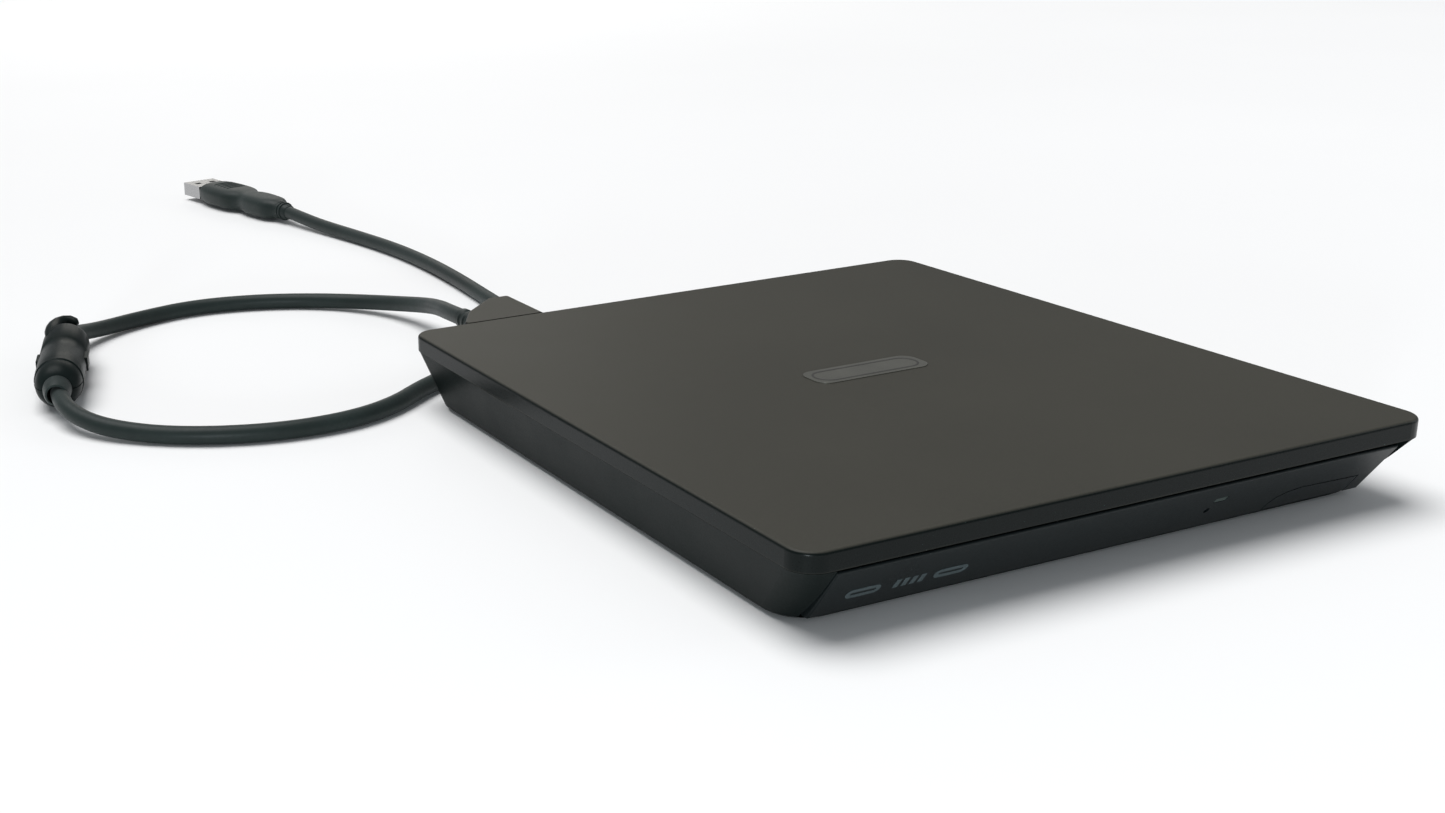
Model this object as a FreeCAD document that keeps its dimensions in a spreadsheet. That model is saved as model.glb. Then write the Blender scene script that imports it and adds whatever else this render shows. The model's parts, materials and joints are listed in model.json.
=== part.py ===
import FreeCAD, Part
import math
import operator
import os
from types import SimpleNamespace

import Sketcher

# An external optical disc drive: a slimline tray mechanism in a thin two-part case, with a captive cord.
# Origin: the middle of the case's outline, on the table.
# +X right along the front, -Y out of the front, +Z up.

V = FreeCAD.Vector
UP = V(0, 0, 1)

SIZES = {
    # case
    "width": 140,
    "depth": 153.6,
    "top_height": 17,
    "foot_rise": 0.4,
    "rim_height": 3.7,
    "seam": 0.2,
    "cover_thick": 1.6,
    "wall": 1.6,
    "floor_thick": 1.4,
    "side_inset": 4,
    "front_inset": 9.3,
    "corner_radius": 5,
    "base_corner": 7.5,
    "edge_round": 0.7,
    "base_round": 0.8,
    "gap": 0.3,
    "fit": 0.06,
    "foot_radius": 4,
    "foot_across": 56,
    "foot_front": -56,
    "foot_rear": 62,
    "foot_sink": 0.5,
    "boss_across": 60,
    "boss_along": 67,
    "boss_radius": 2.6,
    "screw_head": 1.9,
    "screw_shank": 1,
    "badge_length": 28,
    "badge_width": 9,
    "badge_thick": 0.15,
    "label_length": 52,
    "label_width": 34,
    "label_thick": 0.1,
    # cable exit at the rear left
    "hood_low": 8.5,
    "hood_left": -55.5,
    "hood_right": -35.5,
    "hood_rear": 96,
    "hood_flat": 5.5,
    "hood_cheek": 5,
    "hood_setback": 9,
    "hood_shoulder": 1.7,
    "tail_play": 0.4,
    "tail_radius": 1.5,
    "exit_across": -45.5,
    "exit_height": 11.3,
    "boot_start": 84,
    "boot_end": 101,
    "boot_root": 2.8,
    "boot_tip": 2.45,
    "boot_groove": 0.3,
    # bridge board behind the drive
    "board_left": -56,
    "board_right": 44,
    "board_low": 4,
    "board_thick": 0.8,
    "board_space": 2,
    "board_inset": 6.2,
    "board_hole_across": 40,
    "board_hole_along": 69,
    "board_hole_radius": 1.3,
    "header_half": 4,
    "header_front": 63.8,
    "header_rear": 67.6,
    "header_high": 12.6,
    "socket_left": 0,
    "socket_right": 22,
    "socket_high": 8.4,
    "socket_rear": 5.5,
    "socket_wall": 1,
    "socket_mouth_high": 7.6,
    "socket_mouth_deep": 2.5,
    # front bezel and eject button
    "bezel_low": 1.1,
    "bezel_high": 12.1,
    "bezel_left": -62.2,
    "bezel_right": 64.2,
    "bezel_wall": 1.5,
    "bezel_rear": -66.1,
    "opening_gap": 1,
    "face_back": 0.3,
    "lip_rise": 1,
    "button_left": 39.2,
    "button_right": 60.2,
    "button_low": 1.3,
    "button_high": 5.6,
    "button_gap": 0.25,
    "stem_share": 0.6,
    "stem_wide": 2,
    "stem_low": 3.5,
    "stem_high": 4.6,
    "stem_end": -67.9,
    "switch_low": 3.2,
    "switch_high": 5.8,
    "switch_side": 1.6,
    "switch_deep": 0.9,
    "hole_across": 22,
    "hole_height": 5.4,
    "hole_radius": 0.6,
    "lamp_across": 23.4,
    "lamp_height": 7.8,
    "lamp_length": 2.8,
    "lamp_width": 0.9,
    "lamp_deep": 4,
    # drive pan and lid
    "sheet": 0.6,
    "pan_low": 2,
    "pan_high": 12.8,
    "pan_half": 63.6,
    "pan_front": -64.5,
    "pan_rear": 61.5,
    "lid_low": 12.9,
    "lid_skirt": 2,
    "emboss_half": 9,
    "emboss_wide": 2,
    # rails
    "rail_back": 62.8,
    "rail_reach": 2.1,
    "rail_low": 3.4,
    "rail_high": 7.6,
    "rail_front": -61,
    "rail_rear": 58,
    "rail_sheet": 0.5,
    "slider_back": 62,
    "slider_low": 4.2,
    "slider_high": 6.8,
    "slider_reach": 2,
    "slider_front": -56,
    "slider_rear": 56,
    # tray
    "tray_low": 3.4,
    "tray_half": 59.6,
    "shoulder_low": 8,
    "shoulder_half": 61.8,
    "tray_high": 11.5,
    "tray_front": -66,
    "tray_rear": 58,
    "tongue_half": 61.2,
    "tongue_low": 5,
    "tongue_high": 6,
    "disc_along": -3.6,
    "disc_seat": 60.7,
    "seat_height": 8.9,
    "shield_low": 3,
    "shield_thick": 0.4,
    "shield_left": -58,
    "shield_right": 49.6,
    "shield_hole": 1.2,
    "notch_half": 11,
    "notch_deep": 6,
    "tray_board_left": -21,
    "tray_board_right": 47,
    "tray_board_front": 23,
    "tray_board_rear": 55,
    "tray_board_low": 5.2,
    "tray_board_thick": 0.8,
    "bay_room": 1,
    "board_bay_high": 7.6,
    "ribbon_left": 4,
    "ribbon_right": 16,
    "ribbon_front": 40,
    "ribbon_low": 2.65,
    "ribbon_thick": 0.1,
    "ribbon_high": 7,
    # playing deck: measured from the spindle, along its own slant
    "deck_turn": 225,
    "deck_low": 8.3,
    "deck_thick": 0.5,
    "deck_back": -26,
    "deck_end": 61,
    "deck_half": 21.3,
    "bay_end": 66.6,
    "bay_half": 16.5,
    "bay_high": 8.2,
    "slot_end": 60,
    "slot_half": 11.5,
    "deck_trim": 0.2,
    "deck_hole": 0.8,
    "deck_hole_back": -22,
    "deck_hole_end": 57,
    "deck_hole_across": 17.5,
    "hub_hole": 16,
    "base_low": 3.6,
    "base_thick": 0.5,
    "base_half": 16,
    "base_end": 13,
    "base_corners": 3,
    "clamp_wall": 1.2,
    "clamp_length": 4.6,
    "clamp_top": 0.4,
    "bearing_radius": 2.2,
    "bearing_high": 7.2,
    "shaft_radius": 1,
    "stator_radius": 10.6,
    "stator_bore": 3,
    "stator_low": 4.6,
    "stator_high": 7,
    "winding_start": 5.2,
    "winding_end": 9.4,
    "winding_half": 0.9,
    "rotor_inner": 11.3,
    "rotor_outer": 12.3,
    "rotor_low": 4.6,
    "rotor_high": 7.5,
    "flange_radius": 15,
    "flange_low": 8.6,
    "flange_high": 9.35,
    "pad_height": 0.25,
    "pad_inner": 11.6,
    "hub_radius": 7.4,
    "hub_high": 11.9,
    "hub_slope": 0.8,
    "claw_low": 10.5,
    "claw_high": 11.2,
    "claw_wide": 2.2,
    "claw_inner": 4.8,
    "claw_outer": 7.5,
    "claw_play": 0.15,
    "claw_travel": 0.9,
    "rod_radius": 1,
    "rod_height": 5.8,
    "rod_across": 13.6,
    "rod_start": 12,
    "rod_end": 66.2,
    "screw_radius": 1.1,
    "screw_across": 18.6,
    "screw_start": 19.2,
    "screw_end": 60.4,
    "motor_radius": 2.1,
    "motor_start": 4.5,
    "bracket_start": 19.9,
    "bracket_end": 59.6,
    "bracket_sheet": 0.6,
    "bracket_half": 2.2,
    "bracket_floor": 0.4,
    "bracket_high": 7.7,
    "sled_start": 15.6,
    "sled_end": 32.6,
    "sled_half": 15.9,
    "sled_low": 4.2,
    "sled_high": 7.6,
    "lens_along": 24.1,
    "lens_well": 10.6,
    "holder_size": 8.6,
    "holder_low": 5.7,
    "holder_high": 7.7,
    "lens_radius": 2.1,
    "lens_high": 8.2,
    "follower_start": 21.9,
    "follower_end": 25.9,
    "follower_half": 0.8,
    "cover_sheet": 0.25,
    # latch at the front right of the tray
    "latch_across": 46,
    "latch_along": -58,
    "latch_low": 3.8,
    "latch_high": 5,
    "latch_half": 1.2,
    "latch_arm": 8.5,
    "latch_hook": 4.2,
    "latch_tip": 1.3,
    "latch_tail": 3.4,
    "latch_hub": 2,
    "pivot_radius": 0.8,
    "post_across": 52,
    "post_along": -54.4,
    "post_radius": 0.9,
    "post_high": 5,
    "post_groove": 1.6,
    "groove_front": -50,
    "latch_bay_left": 41.5,
    "latch_bay_right": 54.6,
    "latch_bay_front": -63.5,
    "latch_bay_rear": -46.5,
    "pivot_length": 2,
    "coil_left": 24,
    "coil_right": 38,
    "coil_front": -64,
    "coil_rear": -57,
    "coil_low": 3.8,
    "coil_high": 7.2,
    "coil_play": 0.5,
    "plunger_radius": 0.9,
    "plunger_along": -60.3,
    "plunger_height": 5.1,
    "plunger_sunk": 4,
    "bore_deep": 9,
    # ferrite bead, plug and cord
    "cord_radius": 2.1,
    "bead_across": -139.75,
    "bead_along": 131.5,
    "bead_height": 6,
    "bead_turn": -16.2,
    "bead_half": 22.4,
    "bead_radius": 5.9,
    "bead_neck": 4.6,
    "bead_core": 4.5,
    "core_half": 14,
    "bead_bore": 2.4,
    "plug_across": -26.1,
    "plug_along": 284.2,
    "plug_height": 4,
    "plug_turn": 10.8,
    "plug_half": 7.7,
    "plug_grip_start": 15,
    "plug_grip_end": 54.5,
    "plug_waist": 27.5,
    "plug_tail_half": 5.4,
    "plug_block_half": 5.9,
    "plug_waist_half": 5.2,
    "plug_shoulder": 4,
    "plug_under": 0.15,
    "relief_root": 2.4,
    "relief_end": 3.5,
    "relief_collar": 2,
    "rib_radius": 2.7,
    "rib_growth": 0.12,
    "rib_start": 2,
    "rib_pitch": 2.6,
    "rib_slope": 0.15,
    "rib_cut": 1,
    "rib_groove": 0.45,
    "window_across": 2.9,
    "window_half": 1.1,
    "window_near": 5.4,
    "window_far": 7.6,
    "contact_half": 0.5,
    "contact_near": 0.6,
    "contact_far": 9,
    "contact_thick": 0.12,
    "shell_half": 6,
    "shell_height": 4.5,
    "shell_length": 12,
    "shell_sheet": 0.35,
}


def as_size(thing):
    if isinstance(thing, Size):
        return thing
    return Size(float(thing), f"({float(thing)})")


class Size:
    """A length that knows its number and the sheet expression that gives it."""

    def __init__(self, number, text):
        self.number = number
        self.text = text

    def join(self, sign, act, other):
        other = as_size(other)
        return Size(act(self.number, other.number), f"({self.text} {sign} {other.text})")

    def __add__(self, other):
        return self.join("+", operator.add, other)

    def __radd__(self, other):
        return as_size(other) + self

    def __sub__(self, other):
        return self.join("-", operator.sub, other)

    def __rsub__(self, other):
        return as_size(other) - self

    def __mul__(self, other):
        return self.join("*", operator.mul, other)

    def __rmul__(self, other):
        return as_size(other) * self

    def __truediv__(self, other):
        return self.join("/", operator.truediv, other)

    def __neg__(self):
        return as_size(0) - self


doc = FreeCAD.newDocument("external_optical_drive")
sheet = doc.addObject("Spreadsheet::Sheet", "sizes")
for row, (word, number) in enumerate(SIZES.items(), 1):
    sheet.set(f"A{row}", word)
    sheet.set(f"B{row}", str(number))
    sheet.setAlias(f"B{row}", word)
doc.recompute()
S = SimpleNamespace(**{word: Size(float(number), f"sizes.{word}") for word, number in SIZES.items()})
PARTS = []


# ---- document helpers ----


def bind(thing, name, length):
    """Tie one property to the sheet."""
    thing.setExpression(name, as_size(length).text)


def place(thing, x=0, y=0, z=0, turn=0):
    """Put a sub-part in the drive's frame, turned about the vertical."""
    thing.Placement.Rotation = FreeCAD.Rotation(UP, as_size(turn).number)
    for axis, length in zip("xyz", (x, y, z)):
        bind(thing, f"Placement.Base.{axis}", length)
    return thing


def on_deck(thing):
    """The playing deck's pieces are drawn from the spindle and turned together."""
    return place(thing, 0, S.disc_along, 0, S.deck_turn)


def keep(thing, label):
    """List an object as a sub-part under its own name."""
    thing.Label = label
    PARTS.append(thing)
    return thing


def body(label):
    return keep(doc.addObject("PartDesign::Body", label), label)


def new_sketch(owner, plane, lift):
    """A sketch on one of the body's own origin planes, moved along its normal."""
    sketch = owner.newObject("Sketcher::SketchObject", f"{owner.Name}_sketch")
    base = [item for item in owner.Origin.OriginFeatures if item.Role == plane][0]
    sketch.AttachmentSupport = (base, [""])
    sketch.MapMode = "FlatFace"
    bind(sketch, "AttachmentOffset.Base.z", lift)
    return sketch


def hold(sketch, edge, end, x, y):
    """Fix one point of a sketch by two named distances from its origin."""
    for kind, length in (("DistanceX", x), ("DistanceY", y)):
        length = as_size(length)
        name = f"{kind}_{edge}_{end}"
        index = sketch.addConstraint(Sketcher.Constraint(kind, -1, 1, edge, end, length.number))
        sketch.renameConstraint(index, name)
        sketch.setExpression(f"Constraints.{name}", length.text)


def loop(sketch, corners):
    """A closed run of straight edges."""
    points = [V(as_size(x).number, as_size(y).number, 0) for x, y in corners]
    first = sketch.GeometryCount
    count = len(points)
    for i, point in enumerate(points):
        sketch.addGeometry(Part.LineSegment(point, points[(i + 1) % count]), False)
    for i in range(count):
        joint = Sketcher.Constraint("Coincident", first + i, 2, first + (i + 1) % count, 1)
        sketch.addConstraint(joint)
    for i, (x, y) in enumerate(corners):
        hold(sketch, first + i, 1, x, y)


def polygon(owner, plane, lift, corners):
    sketch = new_sketch(owner, plane, lift)
    loop(sketch, corners)
    return sketch


def oblong(x_low, y_low, x_high, y_high):
    return [(x_low, y_low), (x_high, y_low), (x_high, y_high), (x_low, y_high)]


def rounded(owner, lift, corners, radius):
    """A level rectangle whose four corners are arcs."""
    sketch = new_sketch(owner, "XY_Plane", lift)
    (x_low, y_low), _, (x_high, y_high), _ = corners
    r = as_size(radius)
    turns = [(x_high, y_low, -1, 1), (x_high, y_high, -1, -1), (x_low, y_high, 1, -1), (x_low, y_low, 1, 1)]
    stops = []
    for i, (x, y, in_x, in_y) in enumerate(turns):
        across, along = (x + in_x * r, y), (x, y + in_y * r)
        stops.append((across, along) if i % 2 == 0 else (along, across))
    for i, (x, y, in_x, in_y) in enumerate(turns):
        middle = V((x + in_x * r).number, (y + in_y * r).number, 0)
        start, end = [V(as_size(a).number, as_size(b).number, 0) for a, b in stops[i]]
        bulge = V(x.number, y.number, 0) - middle
        arc = Part.Arc(start, middle + bulge.normalize() * r.number, end)
        edge = sketch.addGeometry(arc, False)
        hold(sketch, edge, 1, *stops[i][0])
        hold(sketch, edge, 2, *stops[i][1])
        index = sketch.addConstraint(Sketcher.Constraint("Radius", edge, r.number))
        sketch.renameConstraint(index, f"radius_{edge}")
        sketch.setExpression(f"Constraints.radius_{edge}", r.text)
    for i in range(4):
        ends = (stops[i][1], stops[(i + 1) % 4][0])
        start, end = [V(as_size(a).number, as_size(b).number, 0) for a, b in ends]
        edge = sketch.addGeometry(Part.LineSegment(start, end), False)
        sketch.addConstraint(Sketcher.Constraint("Coincident", edge, 1, i, 2))
        sketch.addConstraint(Sketcher.Constraint("Coincident", edge, 2, (i + 1) % 4, 1))
    return sketch


def ring(sketch, x, y, radius):
    """One circle with its centre and radius on the sheet."""
    centre = V(as_size(x).number, as_size(y).number, 0)
    edge = sketch.addGeometry(Part.Circle(centre, UP, as_size(radius).number), False)
    hold(sketch, edge, 3, x, y)
    index = sketch.addConstraint(Sketcher.Constraint("Radius", edge, as_size(radius).number))
    sketch.renameConstraint(index, f"radius_{edge}")
    sketch.setExpression(f"Constraints.radius_{edge}", as_size(radius).text)


def rings(owner, plane, lift, circles):
    sketch = new_sketch(owner, plane, lift)
    for x, y, radius in circles:
        ring(sketch, x, y, radius)
    return sketch


def pad(owner, sketch, length, back=False):
    feature = owner.newObject("PartDesign::Pad", f"{owner.Name}_pad")
    feature.Profile = sketch
    bind(feature, "Length", length)
    feature.Reversed = back
    doc.recompute()
    return feature


def pocket(owner, sketch, length, forward=False):
    """Cut against the sketch's normal, or along it if forward, and make sure that something went."""
    before = owner.Shape.Volume
    feature = owner.newObject("PartDesign::Pocket", f"{owner.Name}_pocket")
    feature.Profile = sketch
    bind(feature, "Length", length)
    feature.Reversed = forward
    doc.recompute()
    if owner.Shape.Volume > before - 1e-4:
        raise RuntimeError(f"a pocket of {owner.Label} cut nothing")
    return feature


def turned(owner, corners, angle=360):
    """A profile of (radius, height) points turned about the body's vertical axis."""
    sketch = polygon(owner, "XZ_Plane", 0, corners)
    feature = owner.newObject("PartDesign::Revolution", f"{owner.Name}_turned")
    feature.Profile = sketch
    feature.ReferenceAxis = (sketch, ["V_Axis"])
    feature.Angle = angle
    doc.recompute()
    return feature


def dress(owner, kind, size, pick):
    """Round or bevel the edges that the pick function chooses."""
    base = owner.Tip
    names = [f"Edge{i}" for i, edge in enumerate(base.Shape.Edges, 1) if pick(edge)]
    feature = owner.newObject(f"PartDesign::{kind}", f"{owner.Name}_{kind.lower()}")
    feature.Base = (base, names)
    bind(feature, "Radius" if kind == "Fillet" else "Size", size)
    doc.recompute()
    if "Invalid" in feature.State or not names:
        raise RuntimeError(f"{kind} failed on {owner.Label}, {len(names)} edges")
    return feature


def upright(edge):
    """Is this a straight vertical edge?"""
    ends = [vertex.Point for vertex in edge.Vertexes]
    return len(ends) == 2 and (ends[0] - ends[1]).cross(UP).Length < 1e-6


def at_height(z):
    """A pick for the edges that lie at one height of the body's own frame."""
    level = as_size(z).number
    return lambda edge: abs(edge.BoundBox.ZMin - level) < 1e-4 and abs(edge.BoundBox.ZMax - level) < 1e-4


def box(name, low, high):
    """A Part::Box between two corners."""
    thing = doc.addObject("Part::Box", name)
    for side, a, b in zip(("Length", "Width", "Height"), low, high):
        bind(thing, side, as_size(b) - a)
    return place(thing, *low)


def rod(name, radius, length, x=0, y=0, z=0, along=UP):
    """A Part::Cylinder from a point, pointing along a direction."""
    thing = doc.addObject("Part::Cylinder", name)
    bind(thing, "Radius", radius)
    bind(thing, "Height", length)
    place(thing, x, y, z)
    thing.Placement.Rotation = FreeCAD.Rotation(UP, along)
    return thing


def cut(name, base, tool):
    thing = doc.addObject("Part::Cut", name)
    thing.Base = base
    thing.Tool = tool
    return thing


def fuse(name, *pieces):
    thing = doc.addObject("Part::MultiFuse", name)
    thing.Shapes = list(pieces)
    return thing


def group(name, *pieces):
    """Separate solids under one name, such as four equal screws."""
    thing = doc.addObject("Part::Compound", name)
    thing.Links = list(pieces)
    return thing


# ---- levels and faces used by several pieces ----

half_width = S.width / 2
half_depth = S.depth / 2
rim_low = S.top_height - S.rim_height
case_high = rim_low - S.seam
floor_high = S.foot_rise + S.floor_thick
lean = (S.front_inset - S.seam) / (case_high - S.foot_rise)


def face_y(z, back=0):
    """How far forward the leaning front face stands at a height."""
    return S.seam - half_depth + lean * (case_high - z) + back


# ---- case ----


def outline(inset_x, inset_front, inset_rear):
    """The case's rectangle, brought in from its widest outline."""
    right = half_width - inset_x
    return oblong(-right, inset_front - half_depth, right, half_depth - inset_rear)


def top_cover():
    cover = body("top_cover")
    pad(cover, polygon(cover, "XY_Plane", rim_low, outline(0, 0, 0)), S.rim_height)
    dress(cover, "Fillet", S.corner_radius, upright)
    dress(cover, "Fillet", S.edge_round, at_height(S.top_height))
    cavity = polygon(cover, "XY_Plane", rim_low, outline(S.wall, S.wall, S.wall))
    pocket(cover, cavity, S.rim_height - S.cover_thick, forward=True)
    bosses = [(side * S.boss_across, S.boss_along, S.boss_radius) for side in (-1, 1)]
    pad(cover, rings(cover, "XY_Plane", rim_low, bosses), S.rim_height - S.cover_thick / 2)
    recess = oblong(-S.badge_length / 2, -S.badge_width / 2, S.badge_length / 2, S.badge_width / 2)
    pocket(cover, rounded(cover, S.top_height, recess, S.badge_width / 3), S.badge_thick)


def loft(owner, kind, *levels):
    """A straight-sided loft through level sections, from the lowest to the highest."""
    feature = owner.newObject(f"PartDesign::{kind}Loft", f"{owner.Name}_loft")
    sections = [rounded(owner, *level) for level in levels]
    feature.Profile = sections[0]
    feature.Sections = sections[1:]
    feature.Ruled = True
    doc.recompute()
    return feature


def bottom_case():
    case = body("bottom_case")
    side, front = S.side_inset, S.front_inset
    bevel = S.base_round
    loft(
        case, "Additive",
        (S.foot_rise, outline(side + bevel, front + bevel, side + bevel), S.base_corner - bevel / 2),
        (S.foot_rise + bevel, outline(side - bevel / 3, front - bevel / 2, side - bevel / 3), S.base_corner),
        (case_high, outline(S.seam, S.seam, S.seam), S.corner_radius),
    )
    skin = S.wall / 2
    loft(
        case, "Subtractive",
        (floor_high, outline(side + skin, front + skin, side + skin), S.base_corner - S.wall),
        (case_high, outline(S.wall, S.wall, S.wall), S.corner_radius - S.wall),
    )
    mouth = oblong(S.bezel_left - S.opening_gap, -S.depth, S.bezel_right + S.opening_gap, S.pan_front)
    pocket(case, polygon(case, "XY_Plane", case_high, mouth), case_high - S.foot_rise - S.foot_sink)
    bosses = [(side * S.boss_across, S.boss_along, S.boss_radius) for side in (-1, 1)]
    pad(case, rings(case, "XY_Plane", floor_high - S.floor_thick / 2, bosses), case_high - floor_high)
    heads = [(side * S.boss_across, S.boss_along, S.screw_head + S.fit) for side in (-1, 1)]
    pocket(case, rings(case, "XY_Plane", S.foot_rise, heads), S.floor_thick, forward=True)
    shanks = [(side * S.boss_across, S.boss_along, S.screw_shank + S.fit) for side in (-1, 1)]
    pocket(case, rings(case, "XY_Plane", S.foot_rise, shanks), case_high / 2, forward=True)
    pads = [(x, y, S.foot_radius + S.fit) for x, y in foot_places()]
    pocket(case, rings(case, "XY_Plane", S.foot_rise, pads), S.foot_sink, forward=True)
    notch = oblong(S.exit_across - S.cord_radius, S.boss_along, S.exit_across + S.cord_radius, S.depth)
    pocket(case, polygon(case, "XY_Plane", case_high, notch), S.cord_radius * 2)


def foot_places():
    return [(side * S.foot_across, y) for side in (-1, 1) for y in (S.foot_front, S.foot_rear)]


def rubber_feet():
    feet = [
        rod(f"foot_{i}", S.foot_radius, S.foot_rise + S.foot_sink, x, y)
        for i, (x, y) in enumerate(foot_places())
    ]
    keep(group("rubber_feet", *feet), "rubber_feet")


def case_screws():
    screws = []
    for i, side in enumerate((-1, 1)):
        x = side * S.boss_across
        low = S.foot_rise + S.gap
        head = rod(f"case_screw_head_{i}", S.screw_head, S.floor_thick - S.gap, x, S.boss_along, low)
        slot = box(
            f"case_screw_slot_{i}",
            (x - S.screw_head / 2, S.boss_along - S.seam, S.foot_rise),
            (x + S.screw_head / 2, S.boss_along + S.seam, S.foot_rise + S.gap * 2),
        )
        length = case_high / 2 - S.floor_thick
        shank = rod(f"case_screw_shank_{i}", S.screw_shank, length, x, S.boss_along, floor_high)
        screws.append(fuse(f"case_screw_{i}", cut(f"case_screw_top_{i}", head, slot), shank))
    keep(group("case_screws", *screws), "case_screws")


def flat_trim():
    """The blank badge let into the cover, and the blank label under the case."""
    badge = body("badge_plate")
    half_long = S.badge_length / 2 - S.fit
    half_wide = S.badge_width / 2 - S.fit
    plan = oblong(-half_long, -half_wide, half_long, half_wide)
    outline_sketch = rounded(badge, S.top_height - S.badge_thick, plan, S.badge_width / 3 - S.fit)
    pad(badge, outline_sketch, S.badge_thick * 2)
    label = body("underside_label")
    plan = oblong(-S.label_length / 2, -S.label_width / 2, S.label_length / 2, S.label_width / 2)
    pad(label, polygon(label, "XY_Plane", S.foot_rise - S.label_thick, plan), S.label_thick)
    dress(label, "Fillet", S.edge_round * 2, upright)


# ---- cable exit ----


def cable_hood():
    hood = body("cable_hood")
    front = half_depth - S.wall
    plan = [
        (S.hood_left, front),
        (S.hood_right, front),
        (S.hood_right, S.hood_rear),
        (S.hood_right - S.hood_flat, S.hood_rear),
        (S.hood_left + S.hood_cheek, S.hood_rear - S.hood_setback),
        (S.hood_left, half_depth + S.hood_shoulder),
    ]
    pad(hood, polygon(hood, "XY_Plane", S.hood_low, plan), S.top_height - S.hood_low)
    rear = half_depth.number + 1
    dress(hood, "Fillet", S.edge_round * 1.5, lambda edge: upright(edge) and edge.BoundBox.YMin > rear)
    at_top = at_height(S.top_height)
    dress(hood, "Fillet", S.edge_round, lambda edge: at_top(edge) and edge.BoundBox.YMax > rear)
    low_y = half_depth - S.side_inset * (case_high - S.hood_low) / case_high
    clear = [
        (half_depth - S.wall * 2, S.hood_low - 1),
        (low_y + S.fit - 0.3, S.hood_low - 1),
        (half_depth + S.fit, case_high),
        (half_depth + S.fit, S.top_height + 1),
        (half_depth - S.wall * 2, S.top_height + 1),
    ]
    side_view = polygon(hood, "YZ_Plane", S.hood_left - 1, clear)
    pocket(hood, side_view, S.hood_right - S.hood_left + 2, forward=True)
    bore = rings(hood, "XZ_Plane", -S.boot_start, [(S.exit_across, S.exit_height, S.boot_root + S.fit)])
    pocket(hood, bore, S.depth / 4)
    tail = [(S.exit_across, S.exit_height, S.cord_radius - S.tail_play)]
    pocket(hood, rings(hood, "XZ_Plane", -S.depth / 3, tail), S.boot_start - S.depth / 3 + 1)


def cord_boot():
    """A tapered strain relief with three relief grooves, lying along +Y."""
    boot = body("cord_boot")
    length = S.boot_end - S.boot_start
    groove = S.boot_groove
    profile = [(0, 0), (S.boot_root, 0), (S.boot_root, length * 0.45)]
    for step in (0.55, 0.7, 0.85):
        outer = S.boot_root - (S.boot_root - S.boot_tip) * step
        for along, depth in ((0, 0), (0.03, groove), (0.07, groove), (0.1, 0)):
            profile.append((outer - depth, length * (step + along - 0.05)))
    profile += [(S.boot_tip, length), (0, length)]
    turned(boot, profile)
    place(boot, S.exit_across, S.boot_start, S.exit_height)
    boot.Placement.Rotation = FreeCAD.Rotation(V(1, 0, 0), -90)


# Left, front, length, depth and height of each chip on the bridge board.
BRIDGE_CHIPS = (
    (-34, 64.4, 5, 5, 1),
    (-24, 65, 3, 2, 0.8),
    (-15, 64.5, 4, 4, 1),
    (27, 65, 3, 5, 1.4),
    (34, 64.5, 2.5, 2.5, 1.6),
)


def bridge_board():
    """The board behind the drive that joins it to the cord."""
    low = (S.board_left, S.pan_rear + S.board_space, S.board_low)
    high = (S.board_right, half_depth - S.board_inset, S.board_low + S.board_thick)
    board = box("bridge_sheet", low, high)
    drills = [
        rod(f"board_hole_{i}", S.board_hole_radius, high[2] - low[2] + 2, x, S.board_hole_along, low[2] - 1)
        for i, x in enumerate((-S.board_hole_across, S.board_hole_across))
    ]
    keep(cut("bridge_board_drilled", board, group("bridge_board_holes", *drills)), "bridge_board")


def bridge_components():
    """The board's chips, the cord's header and the cord's inner end."""
    low = S.board_low + S.board_thick
    chips = [
        box(f"chip_{i}", (x, y, low), (x + wide, y + deep, low + tall))
        for i, (x, y, wide, deep, tall) in enumerate(BRIDGE_CHIPS)
    ]
    near = (S.exit_across - S.header_half, S.header_front, low)
    far = (S.exit_across + S.header_half, S.header_rear, S.header_high)
    length = S.boot_start - S.header_rear
    tail = rod("cord_tail", S.tail_radius, length, S.exit_across, S.header_rear, S.exit_height, V(0, 1, 0))
    header = fuse("cord_header", box("header_block", near, far), tail)
    keep(group("bridge_components", header, *chips), "bridge_components")


def bridge_socket():
    low = S.board_low + S.board_thick
    rear = S.pan_rear + S.socket_rear
    near = (S.socket_left, S.pan_rear + S.gap, low)
    block = box("socket_block", near, (S.socket_right, rear, S.socket_high))
    left, mouth_low, right, mouth_high = socket_mouth()
    deep = S.pan_rear + S.socket_mouth_deep
    mouth = box("socket_mouth", (left, S.pan_rear, mouth_low), (right, deep, mouth_high))
    keep(cut("bridge_socket_cut", block, mouth), "bridge_socket")


def socket_mouth():
    """Left, bottom, right and top of the opening between the drive and its socket."""
    low = S.board_low + S.board_thick + S.socket_wall
    return (S.socket_left + S.socket_wall, low, S.socket_right - S.socket_wall, S.socket_mouth_high)


# ---- drive pan, lid and rails ----


# Middle and front of each pressed rib in the pan's floor.
EMBOSSED = tuple((x, y) for x in (-30, 0, 30) for y in (-40, 36))
# Places of the small screws along each side of the lid.
SIDE_SCREWS = (-50, 0, 50)


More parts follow.
